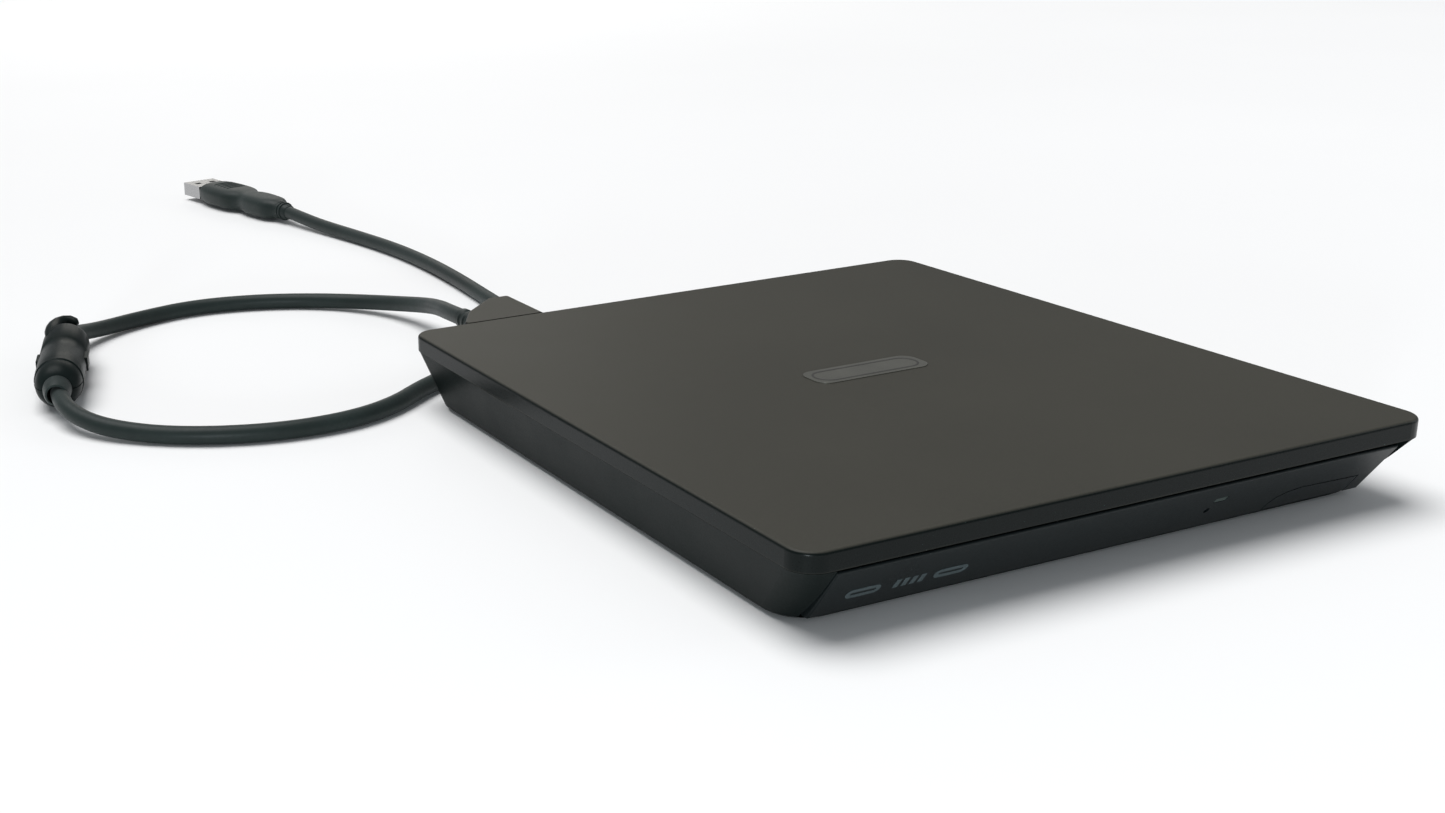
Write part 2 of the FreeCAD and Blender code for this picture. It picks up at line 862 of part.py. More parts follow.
def drive_pan():
    pan = body("drive_pan")
    inner = S.pan_half - S.sheet
    outer = oblong(-S.pan_half, S.pan_front, S.pan_half, S.pan_rear)
    pad(pan, polygon(pan, "XY_Plane", S.pan_low, outer), S.pan_high - S.pan_low)
    cavity = oblong(-inner, S.pan_front - 1, inner, S.pan_rear - S.sheet)
    pocket(pan, polygon(pan, "XY_Plane", S.pan_high, cavity), S.pan_high - S.pan_low - S.sheet)
    window = polygon(pan, "XZ_Plane", -S.pan_rear - 1, oblong(*socket_mouth()))
    pocket(pan, window, 2, forward=True)
    ribs = new_sketch(pan, "XY_Plane", S.pan_low + S.sheet)
    for x, y in EMBOSSED:
        loop(ribs, oblong(x - S.emboss_half, y, x + S.emboss_half, y + S.emboss_wide))
    pocket(pan, ribs, S.sheet / 3)


def drive_lid():
    lid = body("drive_lid")
    half = S.pan_half + S.gap / 3 + S.sheet
    outer = oblong(-half, S.pan_front, half, S.pan_rear + S.gap / 3 + S.sheet)
    pad(lid, polygon(lid, "XY_Plane", S.lid_low - S.lid_skirt, outer), S.lid_skirt + S.sheet)
    cavity = oblong(S.sheet - half, S.pan_front - 1, half - S.sheet, S.pan_rear + S.gap / 3)
    pocket(lid, polygon(lid, "XY_Plane", S.lid_low - S.lid_skirt, cavity), S.lid_skirt, forward=True)


def drive_screws():
    """Six small screws through the lid's skirts into the pan's walls."""
    screws = []
    for side in (-1, 1):
        for y in SIDE_SCREWS:
            x = side * (S.pan_half + S.gap / 3 + S.sheet)
            name = f"drive_screw_{len(screws)}"
            z = S.lid_low - S.lid_skirt / 2
            screws.append(rod(name, S.screw_shank, S.sheet * 0.7, x, y, z, V(side, 0, 0)))
    keep(group("drive_screws", *screws), "drive_screws")


def channel(label, side, back, reach, low, high, front, rear):
    """A thin C-shaped rail, open towards the middle of the drive."""
    rail = body(label)
    web = back - S.rail_sheet
    section = [
        (side * back, low),
        (side * back, high),
        (side * (back - reach), high),
        (side * (back - reach), high - S.rail_sheet),
        (side * web, high - S.rail_sheet),
        (side * web, low + S.rail_sheet),
        (side * (back - reach), low + S.rail_sheet),
        (side * (back - reach), low),
    ]
    pad(rail, polygon(rail, "XZ_Plane", -rear, section), rear - front)


def rails():
    for side, word in ((-1, "left"), (1, "right")):
        channel(
            f"outer_rail_{word}", side, S.rail_back, S.rail_reach, S.rail_low, S.rail_high,
            S.rail_front, S.rail_rear,
        )
        channel(
            f"mid_rail_{word}", side, S.slider_back, S.slider_reach, S.slider_low, S.slider_high,
            S.slider_front, S.slider_rear,
        )


# ---- tray ----


def slanted(x_low, x_high, half_low, half_high):
    """A rectangle drawn along the deck's slant and given in the drive's own directions."""
    turn = math.radians(S.deck_turn.number)
    cos, sin = math.cos(turn), math.sin(turn)
    corners = oblong(x_low, half_low, x_high, half_high)
    return [(x * cos - y * sin, S.disc_along + x * sin + y * cos) for x, y in corners]


def tray_corner(edge):
    """Is this one of the tray's upright rear corners above its shoulder?"""
    return upright(edge) and edge.BoundBox.ZMax > S.shoulder_low.number + 0.5 and edge.BoundBox.YMin > 0


def tray_frame():
    tray = body("tray_frame")
    low = S.tray_low
    lower = oblong(-S.tray_half, S.tray_front, S.tray_half, S.tray_rear)
    pad(tray, polygon(tray, "XY_Plane", low, lower), S.shoulder_low - low)
    tongues = oblong(-S.tongue_half, S.tray_front + 2, S.tongue_half, S.tray_rear - 1)
    pad(tray, polygon(tray, "XY_Plane", S.tongue_low, tongues), S.tongue_high - S.tongue_low)
    upper = oblong(-S.shoulder_half, S.tray_front, S.shoulder_half, S.tray_rear)
    pad(tray, polygon(tray, "XY_Plane", S.shoulder_low, upper), S.seat_height - S.shoulder_low)
    dress(tray, "Fillet", S.corner_radius / 2, tray_corner)
    board_bay = oblong(
        S.tray_board_left - S.bay_room, S.tray_board_front - S.bay_room,
        S.tray_board_right + S.bay_room, S.tray_board_rear + S.bay_room,
    )
    coil_bay = oblong(
        S.coil_left - S.coil_play, S.coil_front - S.coil_play,
        S.latch_across + S.latch_half, S.coil_rear + S.coil_play,
    )
    latch_bay = oblong(S.latch_bay_left, S.latch_bay_front, S.latch_bay_right, S.latch_bay_rear)
    groove = oblong(
        S.post_across - S.post_groove, S.groove_front, S.post_across + S.post_groove, S.tray_rear + 1,
    )
    for plan, top in (
        (slanted(S.deck_back, S.deck_end, -S.deck_half, S.deck_half), S.seat_height),
        (slanted(S.deck_end - 2, S.bay_end, -S.bay_half, S.bay_half), S.bay_high),
        (board_bay, S.board_bay_high),
        (coil_bay, S.coil_high + S.gap),
        (latch_bay, S.latch_high + S.gap * 2),
        (groove, S.post_high + S.gap * 2),
    ):
        pocket(tray, polygon(tray, "XY_Plane", top, plan), top - low)


def tray_rim():
    """The raised border of the disc recess, with a finger notch at the rear."""
    rim = body("tray_rim")
    plan = oblong(-S.shoulder_half, S.tray_front, S.shoulder_half, S.tray_rear)
    pad(rim, polygon(rim, "XY_Plane", S.seat_height, plan), S.tray_high - S.seat_height)
    dress(rim, "Fillet", S.corner_radius / 2, tray_corner)
    seat = rings(rim, "XY_Plane", S.tray_high, [(0, S.disc_along, S.disc_seat)])
    pocket(rim, seat, S.tray_high - S.seat_height)
    finger = oblong(-S.notch_half, S.tray_rear - S.notch_deep, S.notch_half, S.tray_rear + 1)
    pocket(rim, polygon(rim, "XY_Plane", S.tray_high, finger), S.tray_high - S.seat_height)


# Places of the round holes in the sheet under the tray.
SHIELD_HOLES = tuple((x, y) for x in (-52, -30, 18) for y in (30, 50))


def tray_shield():
    """The thin steel sheet that closes the tray's underside."""
    shield = body("tray_bottom_plate")
    plan = oblong(S.shield_left, S.tray_front + 3, S.shield_right, S.tray_rear - 1)
    pad(shield, polygon(shield, "XY_Plane", S.shield_low, plan), S.shield_thick)
    dress(shield, "Fillet", S.edge_round * 3, upright)
    latch_room = oblong(
        S.latch_bay_left - S.coil_play, S.latch_bay_front - S.coil_play,
        S.shield_right + 1, S.latch_bay_rear + S.coil_play,
    )
    pocket(shield, polygon(shield, "XY_Plane", S.shield_low + S.shield_thick, latch_room), S.shield_thick)
    holes = [(x, y, S.shield_hole) for x, y in SHIELD_HOLES]
    pocket(shield, rings(shield, "XY_Plane", S.shield_low + S.shield_thick, holes), S.shield_thick)


def bezel_section(back, rear):
    """The bezel's side view: leaning front, upright back."""
    return [
        (face_y(S.bezel_low, back), S.bezel_low),
        (rear, S.bezel_low),
        (rear, S.bezel_high),
        (face_y(S.bezel_high, back), S.bezel_high),
    ]


# The button's curved left end, from its highest point down: how far right and how far down each corner is.
BUTTON_CURVE = ((6.2, 0), (3.2, 0.45), (1.1, 1.5), (0.2, 2.9))
BUTTON_FALL = 0.5


def button_outline(grow):
    """The button seen from the front, with its left end cut back."""
    left = S.button_left - grow
    right = S.button_right + grow
    low = S.button_low - grow
    high = S.button_high + grow
    curve = [(left + across, high - down) for across, down in BUTTON_CURVE]
    return [(left, low), (right, low), (right, high - BUTTON_FALL), *curve]


def tray_bezel():
    bezel = body("tray_bezel")
    side = polygon(bezel, "YZ_Plane", S.bezel_left, bezel_section(S.face_back, S.bezel_rear))
    pad(bezel, side, S.bezel_right - S.bezel_left)
    rear = S.bezel_rear.number
    dress(bezel, "Fillet", S.edge_round / 2, lambda edge: edge.BoundBox.YMax < rear - 0.1)
    hollow_low = S.bezel_low + S.bezel_wall + S.lip_rise
    hollow_high = S.bezel_high - S.bezel_wall
    inside = S.face_back + S.bezel_wall
    hollow = [
        (face_y(hollow_low, inside), hollow_low),
        (S.bezel_rear + 1, hollow_low),
        (S.bezel_rear + 1, hollow_high),
        (face_y(hollow_high, inside), hollow_high),
    ]
    start = S.bezel_left + S.bezel_wall
    side = polygon(bezel, "YZ_Plane", start, hollow)
    pocket(bezel, side, S.bezel_right - S.bezel_left - S.bezel_wall * 2, forward=True)
    opening = polygon(bezel, "XZ_Plane", -S.bezel_rear, button_outline(S.button_gap))
    pocket(bezel, opening, S.front_inset + 2, forward=True)
    reset = rings(bezel, "XZ_Plane", -S.bezel_rear, [(S.hole_across, S.hole_height, S.hole_radius)])
    pocket(bezel, reset, S.front_inset + 2, forward=True)
    lamp = oblong(*lamp_box(0.1))
    pocket(bezel, polygon(bezel, "XZ_Plane", -S.bezel_rear, lamp), S.front_inset + 2, forward=True)


def lamp_box(grow):
    """Left, bottom, right and top of the status lamp's window."""
    half_long = S.lamp_length / 2 + grow
    half_wide = S.lamp_width / 2 + grow
    right, high = S.lamp_across + half_long, S.lamp_height + half_wide
    return S.lamp_across - half_long, S.lamp_height - half_wide, right, high


def leaning_slab(back, thick):
    """The side view of a slab of even depth behind the leaning front."""
    low_y, high_y = face_y(S.bezel_low, back), face_y(S.bezel_high, back)
    bottom = [(low_y, S.bezel_low), (low_y + thick, S.bezel_low)]
    return bottom + [(high_y + thick, S.bezel_high), (high_y, S.bezel_high)]


def status_lens():
    lens = body("status_lens")
    back = S.face_back + S.fit
    section = leaning_slab(back, S.lamp_deep)
    left, low, right, high = lamp_box(0)
    pad(lens, polygon(lens, "YZ_Plane", left, section), S.lamp_length)
    for z_low, z_high in ((S.bezel_low - 1, low), (high, S.bezel_high + 1)):
        waste = oblong(left - 1, z_low, right + 1, z_high)
        pocket(lens, polygon(lens, "XZ_Plane", S.depth, waste), S.depth)


def stem_left():
    return S.button_left + (S.button_right - S.button_left) * S.stem_share


def eject_button():
    """A leaning key in the bezel's lower right, with a stem that reaches the switch."""
    button = body("eject_button")
    slab = polygon(button, "YZ_Plane", S.button_left, leaning_slab(S.face_back, S.bezel_wall))
    pad(button, slab, S.button_right - S.button_left)
    frame = polygon(button, "XZ_Plane", S.depth, button_outline(0))
    waste = S.width / 2
    loop(frame, oblong(S.button_left - waste, -waste, S.button_right + waste, waste))
    pocket(button, frame, S.depth)
    stem = oblong(stem_left(), S.stem_low, stem_left() + S.stem_wide, S.stem_high)
    start = face_y(S.stem_low, S.face_back) + S.bezel_wall / 2
    pad(button, polygon(button, "XZ_Plane", -start, stem), S.stem_end - start, back=True)


def eject_switch():
    """A small push switch on the tray's front edge, behind the button's stem."""
    front = S.tray_front - S.switch_deep
    left = stem_left() - S.switch_side
    right = stem_left() + S.stem_wide + S.switch_side
    case = box("switch_case", (left, front, S.switch_low), (right, S.tray_front - S.fit, S.switch_high))
    key_low = (stem_left(), front - S.gap / 2, S.switch_low + S.gap)
    key_high = (stem_left() + S.stem_wide, S.tray_front - S.switch_deep / 2, S.stem_high)
    keep(fuse("eject_switch_body", case, box("switch_key", key_low, key_high)), "eject_switch")


# Left, front, length, depth and height of each chip under the tray's board.
TRAY_CHIPS = (
    (-15, 28, 10, 10, 1.2), (4, 32, 7, 7, 1), (20, 27, 9, 5, 1), (22, 40, 6, 6, 1), (36, 44, 7, 4, 1.3),
)


def tray_board():
    low = S.tray_board_low
    board = box(
        "tray_board_sheet", (S.tray_board_left, S.tray_board_front, low),
        (S.tray_board_right, S.tray_board_rear, low + S.tray_board_thick),
    )
    chips = [
        box(f"tray_chip_{i}", (x, y, low - tall), (x + wide, y + deep, low))
        for i, (x, y, wide, deep, tall) in enumerate(TRAY_CHIPS)
    ]
    keep(fuse("tray_board_fitted", board, *chips), "tray_board")


def ribbon_cable():
    """The flat cable that lies on the pan's floor and turns up at its rear wall."""
    end = S.pan_rear - S.sheet - 1
    left, right, low = S.ribbon_left, S.ribbon_right, S.ribbon_low
    flat = box("ribbon_low", (left, S.ribbon_front, low), (right, end, low + S.ribbon_thick))
    up = box("ribbon_up", (left, end - S.ribbon_thick, low), (right, end, S.ribbon_high))
    keep(fuse("ribbon", flat, up), "ribbon_cable")


# ---- playing deck ----


def deck_plate():
    plate = on_deck(body("deck_plate"))
    trim = S.deck_trim
    plan = oblong(S.deck_back + trim, trim - S.deck_half, S.deck_end - trim, S.deck_half - trim)
    pad(plate, polygon(plate, "XY_Plane", S.deck_low, plan), S.deck_thick)
    top = S.deck_low + S.deck_thick
    pocket(plate, rings(plate, "XY_Plane", top, [(0, 0, S.hub_hole)]), S.deck_thick)
    slot = oblong(S.hub_hole / 2, -S.slot_half, S.slot_end, S.slot_half)
    pocket(plate, polygon(plate, "XY_Plane", top, slot), S.deck_thick)
    across = S.deck_hole_across
    holes = [(x, y, S.deck_hole) for x in (S.deck_hole_back, S.deck_hole_end) for y in (-across, across)]
    pocket(plate, rings(plate, "XY_Plane", top, holes), S.deck_thick)


CLAWS = 3
WINDINGS = 9


def spindle_parts():
    base = on_deck(body("spindle_base"))
    plan = oblong(S.deck_back + 2, -S.base_half, S.base_end, S.base_half)
    pad(base, polygon(base, "XY_Plane", S.base_low, plan), S.base_thick)
    dress(base, "Fillet", S.base_corners, upright)
    rod_clamps(base)
    bearing = on_deck(body("spindle_bearing"))
    low = S.base_low + S.base_thick
    high = S.bearing_high
    bore = S.shaft_radius + S.fit / 2
    turned(bearing, [(bore, low), (S.bearing_radius, low), (S.bearing_radius, high), (bore, high)])
    stator = on_deck(body("spindle_stator"))
    discs = rings(stator, "XY_Plane", S.stator_low, [(0, 0, S.stator_radius), (0, 0, S.stator_bore)])
    pad(stator, discs, S.stator_high - S.stator_low)
    winding = oblong(S.winding_start, -S.winding_half, S.winding_end, S.winding_half)
    slot = polygon(stator, "XY_Plane", S.stator_high, winding)
    first = pocket(stator, slot, S.stator_high - S.stator_low)
    around(stator, first, WINDINGS)


def around(owner, feature, count):
    """Repeat a feature around the body's vertical axis."""
    pattern = owner.newObject("PartDesign::PolarPattern", f"{owner.Name}_around")
    pattern.Originals = [feature]
    axis = [item for item in owner.Origin.OriginFeatures if item.Role == "Z_Axis"][0]
    pattern.Axis = (axis, [""])
    pattern.Angle = 360
    pattern.Occurrences = count
    owner.Tip = pattern
    doc.recompute()
    return pattern


def turntable():
    """The spindle's rotor, disc flange, hub and shaft, turned as one, with three claw slots."""
    table = on_deck(body("turntable"))
    shaft_low = S.base_low + S.base_thick + S.gap
    profile = [
        (0, shaft_low),
        (S.shaft_radius, shaft_low),
        (S.shaft_radius, S.rotor_high),
        (S.rotor_inner, S.rotor_high),
        (S.rotor_inner, S.rotor_low),
        (S.rotor_outer, S.rotor_low),
        (S.rotor_outer, S.flange_low),
        (S.flange_radius, S.flange_low),
        (S.flange_radius, S.flange_high),
        (S.hub_radius, S.flange_high),
        (S.hub_radius, S.hub_high - S.hub_slope),
        (S.hub_radius - S.hub_slope, S.hub_high),
        (S.hub_slope, S.hub_high),
        (0, S.hub_high - S.hub_slope / 2),
    ]
    turned(table, profile)
    half = S.claw_wide / 2 + S.claw_play
    slot = oblong(S.claw_inner - S.claw_travel, -half, S.hub_radius + 1, half)
    top = S.claw_high + S.claw_play
    cut_slot = pocket(table, polygon(table, "XY_Plane", top, slot), top - S.claw_low + S.claw_play)
    around(table, cut_slot, CLAWS)
    pad_ring = on_deck(body("turntable_pad"))
    high = S.flange_high + S.pad_height
    edge = S.flange_radius - S.pad_height
    turned(pad_ring, [(S.pad_inner, S.flange_high), (edge, S.flange_high), (edge, high), (S.pad_inner, high)])


def disc_claws():
    """Three sprung claws in the hub that hold the disc down."""
    for i in range(CLAWS):
        claw = on_deck(body(f"disc_claw_{i + 1}"))
        bind(claw, "Placement.Rotation.Angle", S.deck_turn + 360 / CLAWS * i)
        section = [
            (S.claw_inner, S.claw_low),
            (S.hub_radius, S.claw_low),
            (S.claw_outer, (S.claw_low + S.claw_high) / 2),
            (S.hub_radius, S.claw_high),
            (S.claw_inner, S.claw_high),
        ]
        pad(claw, polygon(claw, "XZ_Plane", -S.claw_wide / 2, section), S.claw_wide)


def guide_rods():
    for word, side in (("main", -1), ("sub", 1)):
        name = f"{word}_guide_rod"
        keep(deck_rod(name, S.rod_radius, S.rod_start, S.rod_end, side * S.rod_across, S.rod_height), name)


def deck_rod(name, radius, start, end, across, height):
    """A round bar along the deck, turned with it."""
    bar = doc.addObject("PartDesign::Body", name)
    on_deck(bar)
    pad(bar, rings(bar, "YZ_Plane", start, [(across, height, radius)]), end - start)
    return bar


def rod_clamps(base):
    """Two blocks on the spindle base that clasp the guide rods' inner ends."""
    half = S.rod_radius + S.clamp_wall
    end = S.rod_start - 2 + S.clamp_length
    foot = S.base_low
    for side in (-1, 1):
        y = side * S.rod_across
        plan = oblong(S.rod_start - 2, y - half, end, y + half)
        pad(base, polygon(base, "XY_Plane", foot, plan), S.rod_height + S.rod_radius + S.clamp_top - foot)
    holes = [(side * S.rod_across, S.rod_height, S.rod_radius) for side in (-1, 1)]
    pocket(base, rings(base, "YZ_Plane", S.rod_start, holes), end - S.rod_start + 1, forward=True)


def feed_drive():
    """The lead screw, its motor and the bracket that carries both."""
    across, height = S.screw_across, S.rod_height
    keep(deck_rod("lead_screw", S.screw_radius, S.screw_start, S.screw_end, across, height), "lead_screw")
    end = S.screw_start - S.gap
    keep(deck_rod("feed_motor", S.motor_radius, S.motor_start, end, across, height), "feed_motor")
    bracket = on_deck(body("feed_bracket"))
    near = across - S.bracket_half
    far = across + S.bracket_half
    low = S.base_low
    floor = oblong(S.bracket_start, near, S.bracket_end + S.bracket_sheet, far)
    pad(bracket, polygon(bracket, "XY_Plane", low, floor), S.bracket_floor)
    for x in (S.bracket_start, S.bracket_end):
        plan = oblong(x, near, x + S.bracket_sheet, far)
        pad(bracket, polygon(bracket, "XY_Plane", low, plan), S.bracket_high - low)
    holes = rings(bracket, "YZ_Plane", S.bracket_start - 1, [(across, height, S.screw_radius + S.fit)])
    pocket(bracket, holes, S.rod_end - S.bracket_start, forward=True)


def pickup():
    """The laser carriage that rides on the two rods, and what it carries."""
    sled = on_deck(body("pickup_sled"))
    plan = oblong(S.sled_start, -S.sled_half, S.sled_end, S.sled_half)
    pad(sled, polygon(sled, "XY_Plane", S.sled_low, plan), S.sled_high - S.sled_low)
    dress(sled, "Fillet", S.edge_round, upright)
    bores = [(side * S.rod_across, S.rod_height, S.rod_radius + S.fit) for side in (-1, 1)]
    rod_holes = rings(sled, "YZ_Plane", S.sled_start - 1, bores)
    pocket(sled, rod_holes, S.sled_end - S.sled_start + 2, forward=True)
    well = S.lens_well / 2
    hole = oblong(S.lens_along - well, -well, S.lens_along + well, well)
    pocket(sled, polygon(sled, "XY_Plane", S.sled_high, hole), S.sled_high - S.sled_low - 1)
    cover = on_deck(body("pickup_cover"))
    rim = oblong(S.sled_start + 0.6, -S.slot_half + 1, S.sled_end - 0.6, S.slot_half - 1)
    frame = polygon(cover, "XY_Plane", S.sled_high, rim)
    loop(frame, oblong(S.lens_along - well, -well, S.lens_along + well, well))
    pad(cover, frame, S.cover_sheet)
    follower = on_deck(body("screw_follower"))
    near = S.screw_across - S.screw_radius - S.gap
    plan = oblong(S.follower_start, S.sled_half, S.follower_end, near)
    half = S.follower_half
    pad(follower, polygon(follower, "XY_Plane", S.rod_height - half, plan), half * 2)
    holder = on_deck(body("lens_holder"))
    half = S.holder_size / 2
    plan = oblong(S.lens_along - half, -half, S.lens_along + half, half)
    pad(holder, polygon(holder, "XY_Plane", S.holder_low, plan), S.holder_high - S.holder_low)
    dress(holder, "Fillet", S.edge_round, upright)
    bore = rings(holder, "XY_Plane", S.holder_high, [(S.lens_along, 0, S.lens_radius)])
    pocket(holder, bore, 1)
    lens = body("objective_lens")
    low = S.holder_high - 1
    step = S.lens_radius * 0.75
    profile = [
        (0, low),
        (S.lens_radius, low),
        (S.lens_radius, S.holder_high + S.fit * 2),
        (step, S.lens_high - S.fit * 2),
        (0, S.lens_high),
    ]
    turned(lens, profile)
    turn = math.radians(S.deck_turn.number)
    place(lens, S.lens_along * math.cos(turn), S.disc_along + S.lens_along * math.sin(turn))


# ---- tray latch ----


def latch_parts():
    lever = body("tray_latch")
    arm = [
        (-S.latch_half, -S.latch_tail),
        (S.latch_half, -S.latch_tail),
        (S.latch_half, S.latch_arm - S.latch_tip),
        (S.latch_hook, S.latch_arm - S.latch_tip),
        (S.latch_hook, S.latch_arm),
        (-S.latch_half, S.latch_arm),
    ]
    thick = S.latch_high - S.latch_low
    pad(lever, polygon(lever, "XY_Plane", S.latch_low, arm), thick)
    pad(lever, rings(lever, "XY_Plane", S.latch_low, [(0, 0, S.latch_hub)]), thick)
    pocket(lever, rings(lever, "XY_Plane", S.latch_high, [(0, 0, S.pivot_radius + S.fit)]), thick)
    place(lever, S.latch_across, S.latch_along)
    foot = (S.latch_across, S.latch_along, S.latch_low - S.gap)
    keep(rod("latch_pivot", S.pivot_radius, S.pivot_length, *foot), "latch_pivot")
    low = S.pan_low + S.sheet
    keep(rod("latch_post", S.post_radius, S.post_high - low, S.post_across, S.post_along, low), "latch_post")


def solenoid():
    """The release coil beside the latch, with its plunger drawn partly out."""
    coil = box("coil_case", (S.coil_left, S.coil_front, S.coil_low), (S.coil_right, S.coil_rear, S.coil_high))
    y, z, along = S.plunger_along, S.plunger_height, V(1, 0, 0)
    start = S.coil_right - S.bore_deep
    bore = rod("coil_bore", S.plunger_radius + S.fit, S.bore_deep + 1, start, y, z, along)
    keep(cut("latch_solenoid_case", coil, bore), "latch_solenoid")
    start = S.coil_right - S.plunger_sunk
    end = S.latch_across - S.latch_half - S.gap
    keep(rod("solenoid_plunger_bar", S.plunger_radius, end - start, start, y, z, along), "solenoid_plunger")


# ---- ferrite bead ----


def bead():
    """A two-part snap-on shell around a ferrite core, lying with its axis along the cord."""
    tall = S.bead_radius
    neck = S.bead_neck
    end = S.bead_half
    bore, core, half = S.bead_bore, S.bead_core, S.core_half
    half_profile = [
        (bore, end),
        (neck - 0.9, end),
        (neck, end - 1),
        (neck, end - 3.4),
        (neck + 0.5, end - 3.6),
        (tall - 0.9, end - 5.2),
        (tall, end - 6.6),
    ]
    mirror = [(r, -z) for r, z in reversed(half_profile)]
    core = [(bore, -half), (core, -half), (core, half), (bore, half)]
    outline_points = half_profile + mirror + core
    for word, start in (("upper", 0.3), ("lower", 180.3)):
        shell = body(f"ferrite_shell_{word}")
        turned(shell, outline_points, 179.4)
        lay_bead(shell, start)
    ferrite = body("ferrite_core")
    slack = 0.05
    inner = S.bead_bore + slack
    outer = S.bead_core - slack
    high = S.core_half - slack
    turned(ferrite, [(inner, -high), (outer, -high), (outer, high), (inner, high)])
    lay_bead(ferrite, 0)


def lay_bead(thing, roll):
    """Turn a piece drawn about the vertical so that it lies along the bead's axis."""
    place(thing, S.bead_across, S.bead_along, S.bead_height)
    lie = FreeCAD.Rotation(V(1, 0, 0), -90)
    heading = FreeCAD.Rotation(UP, S.bead_turn.number)
    thing.Placement.Rotation = heading * lie * FreeCAD.Rotation(UP, roll)


# ---- plug ----


def lay_plug(thing):
    return place(thing, S.plug_across, S.plug_along, S.plug_height, S.plug_turn)


RELIEF_RIBS = 4


def plug_strain_relief():
    relief = body("plug_strain_relief")
    length = S.plug_grip_start
    profile = [(0, 0), (S.relief_root, 0), (S.relief_root + S.rib_slope, S.rib_start / 3)]
    for i in range(RELIEF_RIBS):
        low = S.rib_start + S.rib_pitch * i
        outer = S.rib_radius + S.rib_growth * i
        inner = outer - S.rib_groove
        profile += [(outer, low), (inner, low + S.rib_slope), (inner, low + S.rib_cut)]
        profile.append((outer, low + S.rib_cut + S.rib_slope))
    profile += [(S.relief_end, length - S.relief_collar), (S.relief_end, length), (0, length)]
    turned(relief, profile)
    lay_plug(relief)
    heading = FreeCAD.Rotation(UP, S.plug_turn.number)
    relief.Placement.Rotation = heading * FreeCAD.Rotation(V(1, 0, 0), -90)


def plug_body():
    grip = lay_plug(body("plug_body"))
    right = [
        (S.plug_tail_half, S.plug_grip_start),
        (S.plug_block_half, S.plug_waist - S.plug_shoulder),
        (S.plug_waist_half, S.plug_waist),
        (S.plug_half, S.plug_waist + S.plug_shoulder),
        (S.plug_half, S.plug_grip_end - S.plug_shoulder / 3),
        (S.plug_half - 1, S.plug_grip_end),
    ]
    left = [(-x, y) for x, y in reversed(right)]
    half = S.plug_height - S.plug_under
    pad(grip, polygon(grip, "XY_Plane", -half, right + left), half * 2)
    dress(grip, "Fillet", S.edge_round * 1.6, lambda edge: at_height(half)(edge) or at_height(-half)(edge))


# Where the plug's four contacts lie across its tongue.
CONTACTS = (-3.5, -1, 1, 3.5)


def plug_tip():
    """The plug's metal shell with its two windows, the tongue inside it and the tongue's contacts."""
    start = S.plug_grip_end
    shell = lay_plug(body("plug_shell"))
    wide, high, skin = S.shell_half, S.shell_height / 2, S.shell_sheet
    tube = polygon(shell, "XZ_Plane", -start - S.shell_length, oblong(-wide, -high, wide, high))
    loop(tube, oblong(skin - wide, skin - high, wide - skin, high - skin))
    pad(shell, tube, S.shell_length)
    windows = new_sketch(shell, "XY_Plane", S.shell_height)
    for side in (-1, 1):
        left = side * S.window_across - S.window_half
        right = left + S.window_half * 2
        loop(windows, oblong(left, start + S.window_near, right, start + S.window_far))
    pocket(shell, windows, S.shell_height * 2)
    tongue = lay_plug(body("plug_tongue"))
    side = wide - skin - S.fit * 2
    plan = oblong(-side, start, side, start + S.shell_length - S.gap * 2)
    pad(tongue, polygon(tongue, "XY_Plane", 0, plan), high - skin - S.fit)
    contacts = lay_plug(body("plug_contacts"))
    contacts.AllowCompound = True
    strips = new_sketch(contacts, "XY_Plane", -S.contact_thick)
    half = S.contact_half
    for x in CONTACTS:
        loop(strips, oblong(x - half, start + S.contact_near, x + half, start + S.contact_far))
    pad(contacts, strips, S.contact_thick)


# ---- cord ----

# The route, point by point in mm: from the boot, round a wide loop through the ferrite bead,
# back behind the case's rear left corner, under the cable exit, and away to the plug.
ROUTE = [
    (-45.5, 101, 11.3), (-45.2, 110, 10.7), (-42.8, 121.5, 9.0), (-41.0, 134, 6.6), (-43.0, 148, 4.2),
    (-49, 161, 2.7), (-60, 172, 2.15), (-75, 179.5, 2.15), (-92, 182.5, 2.15), (-108.5, 178, 2.15),
    (-122.5, 169.5, 2.9), (-131.7, 159.2, 5.7), (-139.65, 131.6, 6.02), (-147.8, 103.8, 5.7),
    (-144.2, 90.3, 3.2), (-134.2, 79.1, 2.15), (-121, 70.2, 2.15), (-105.5, 65.2, 2.15), (-90, 65.4, 2.15),
    (-77.5, 70.5, 2.15), (-67.5, 78.8, 2.15), (-56, 85.8, 2.15), (-45, 91, 2.15), (-34.5, 97.8, 2.15),
    (-26.5, 107.5, 2.15), (-20.7, 119.5, 2.15), (-17.6, 133.5, 2.15), (-16.2, 150.5, 2.15),
    (-14.3, 171, 2.15), (-13.2, 194, 2.15), (-13.9, 217.5, 2.15), (-17.3, 241.5, 2.15),
    (-21.8, 263, 2.5), (-24.54, 276, 3.4), (-26.1, 284.2, 4.0),
]
ARC_SHARE = 0.45


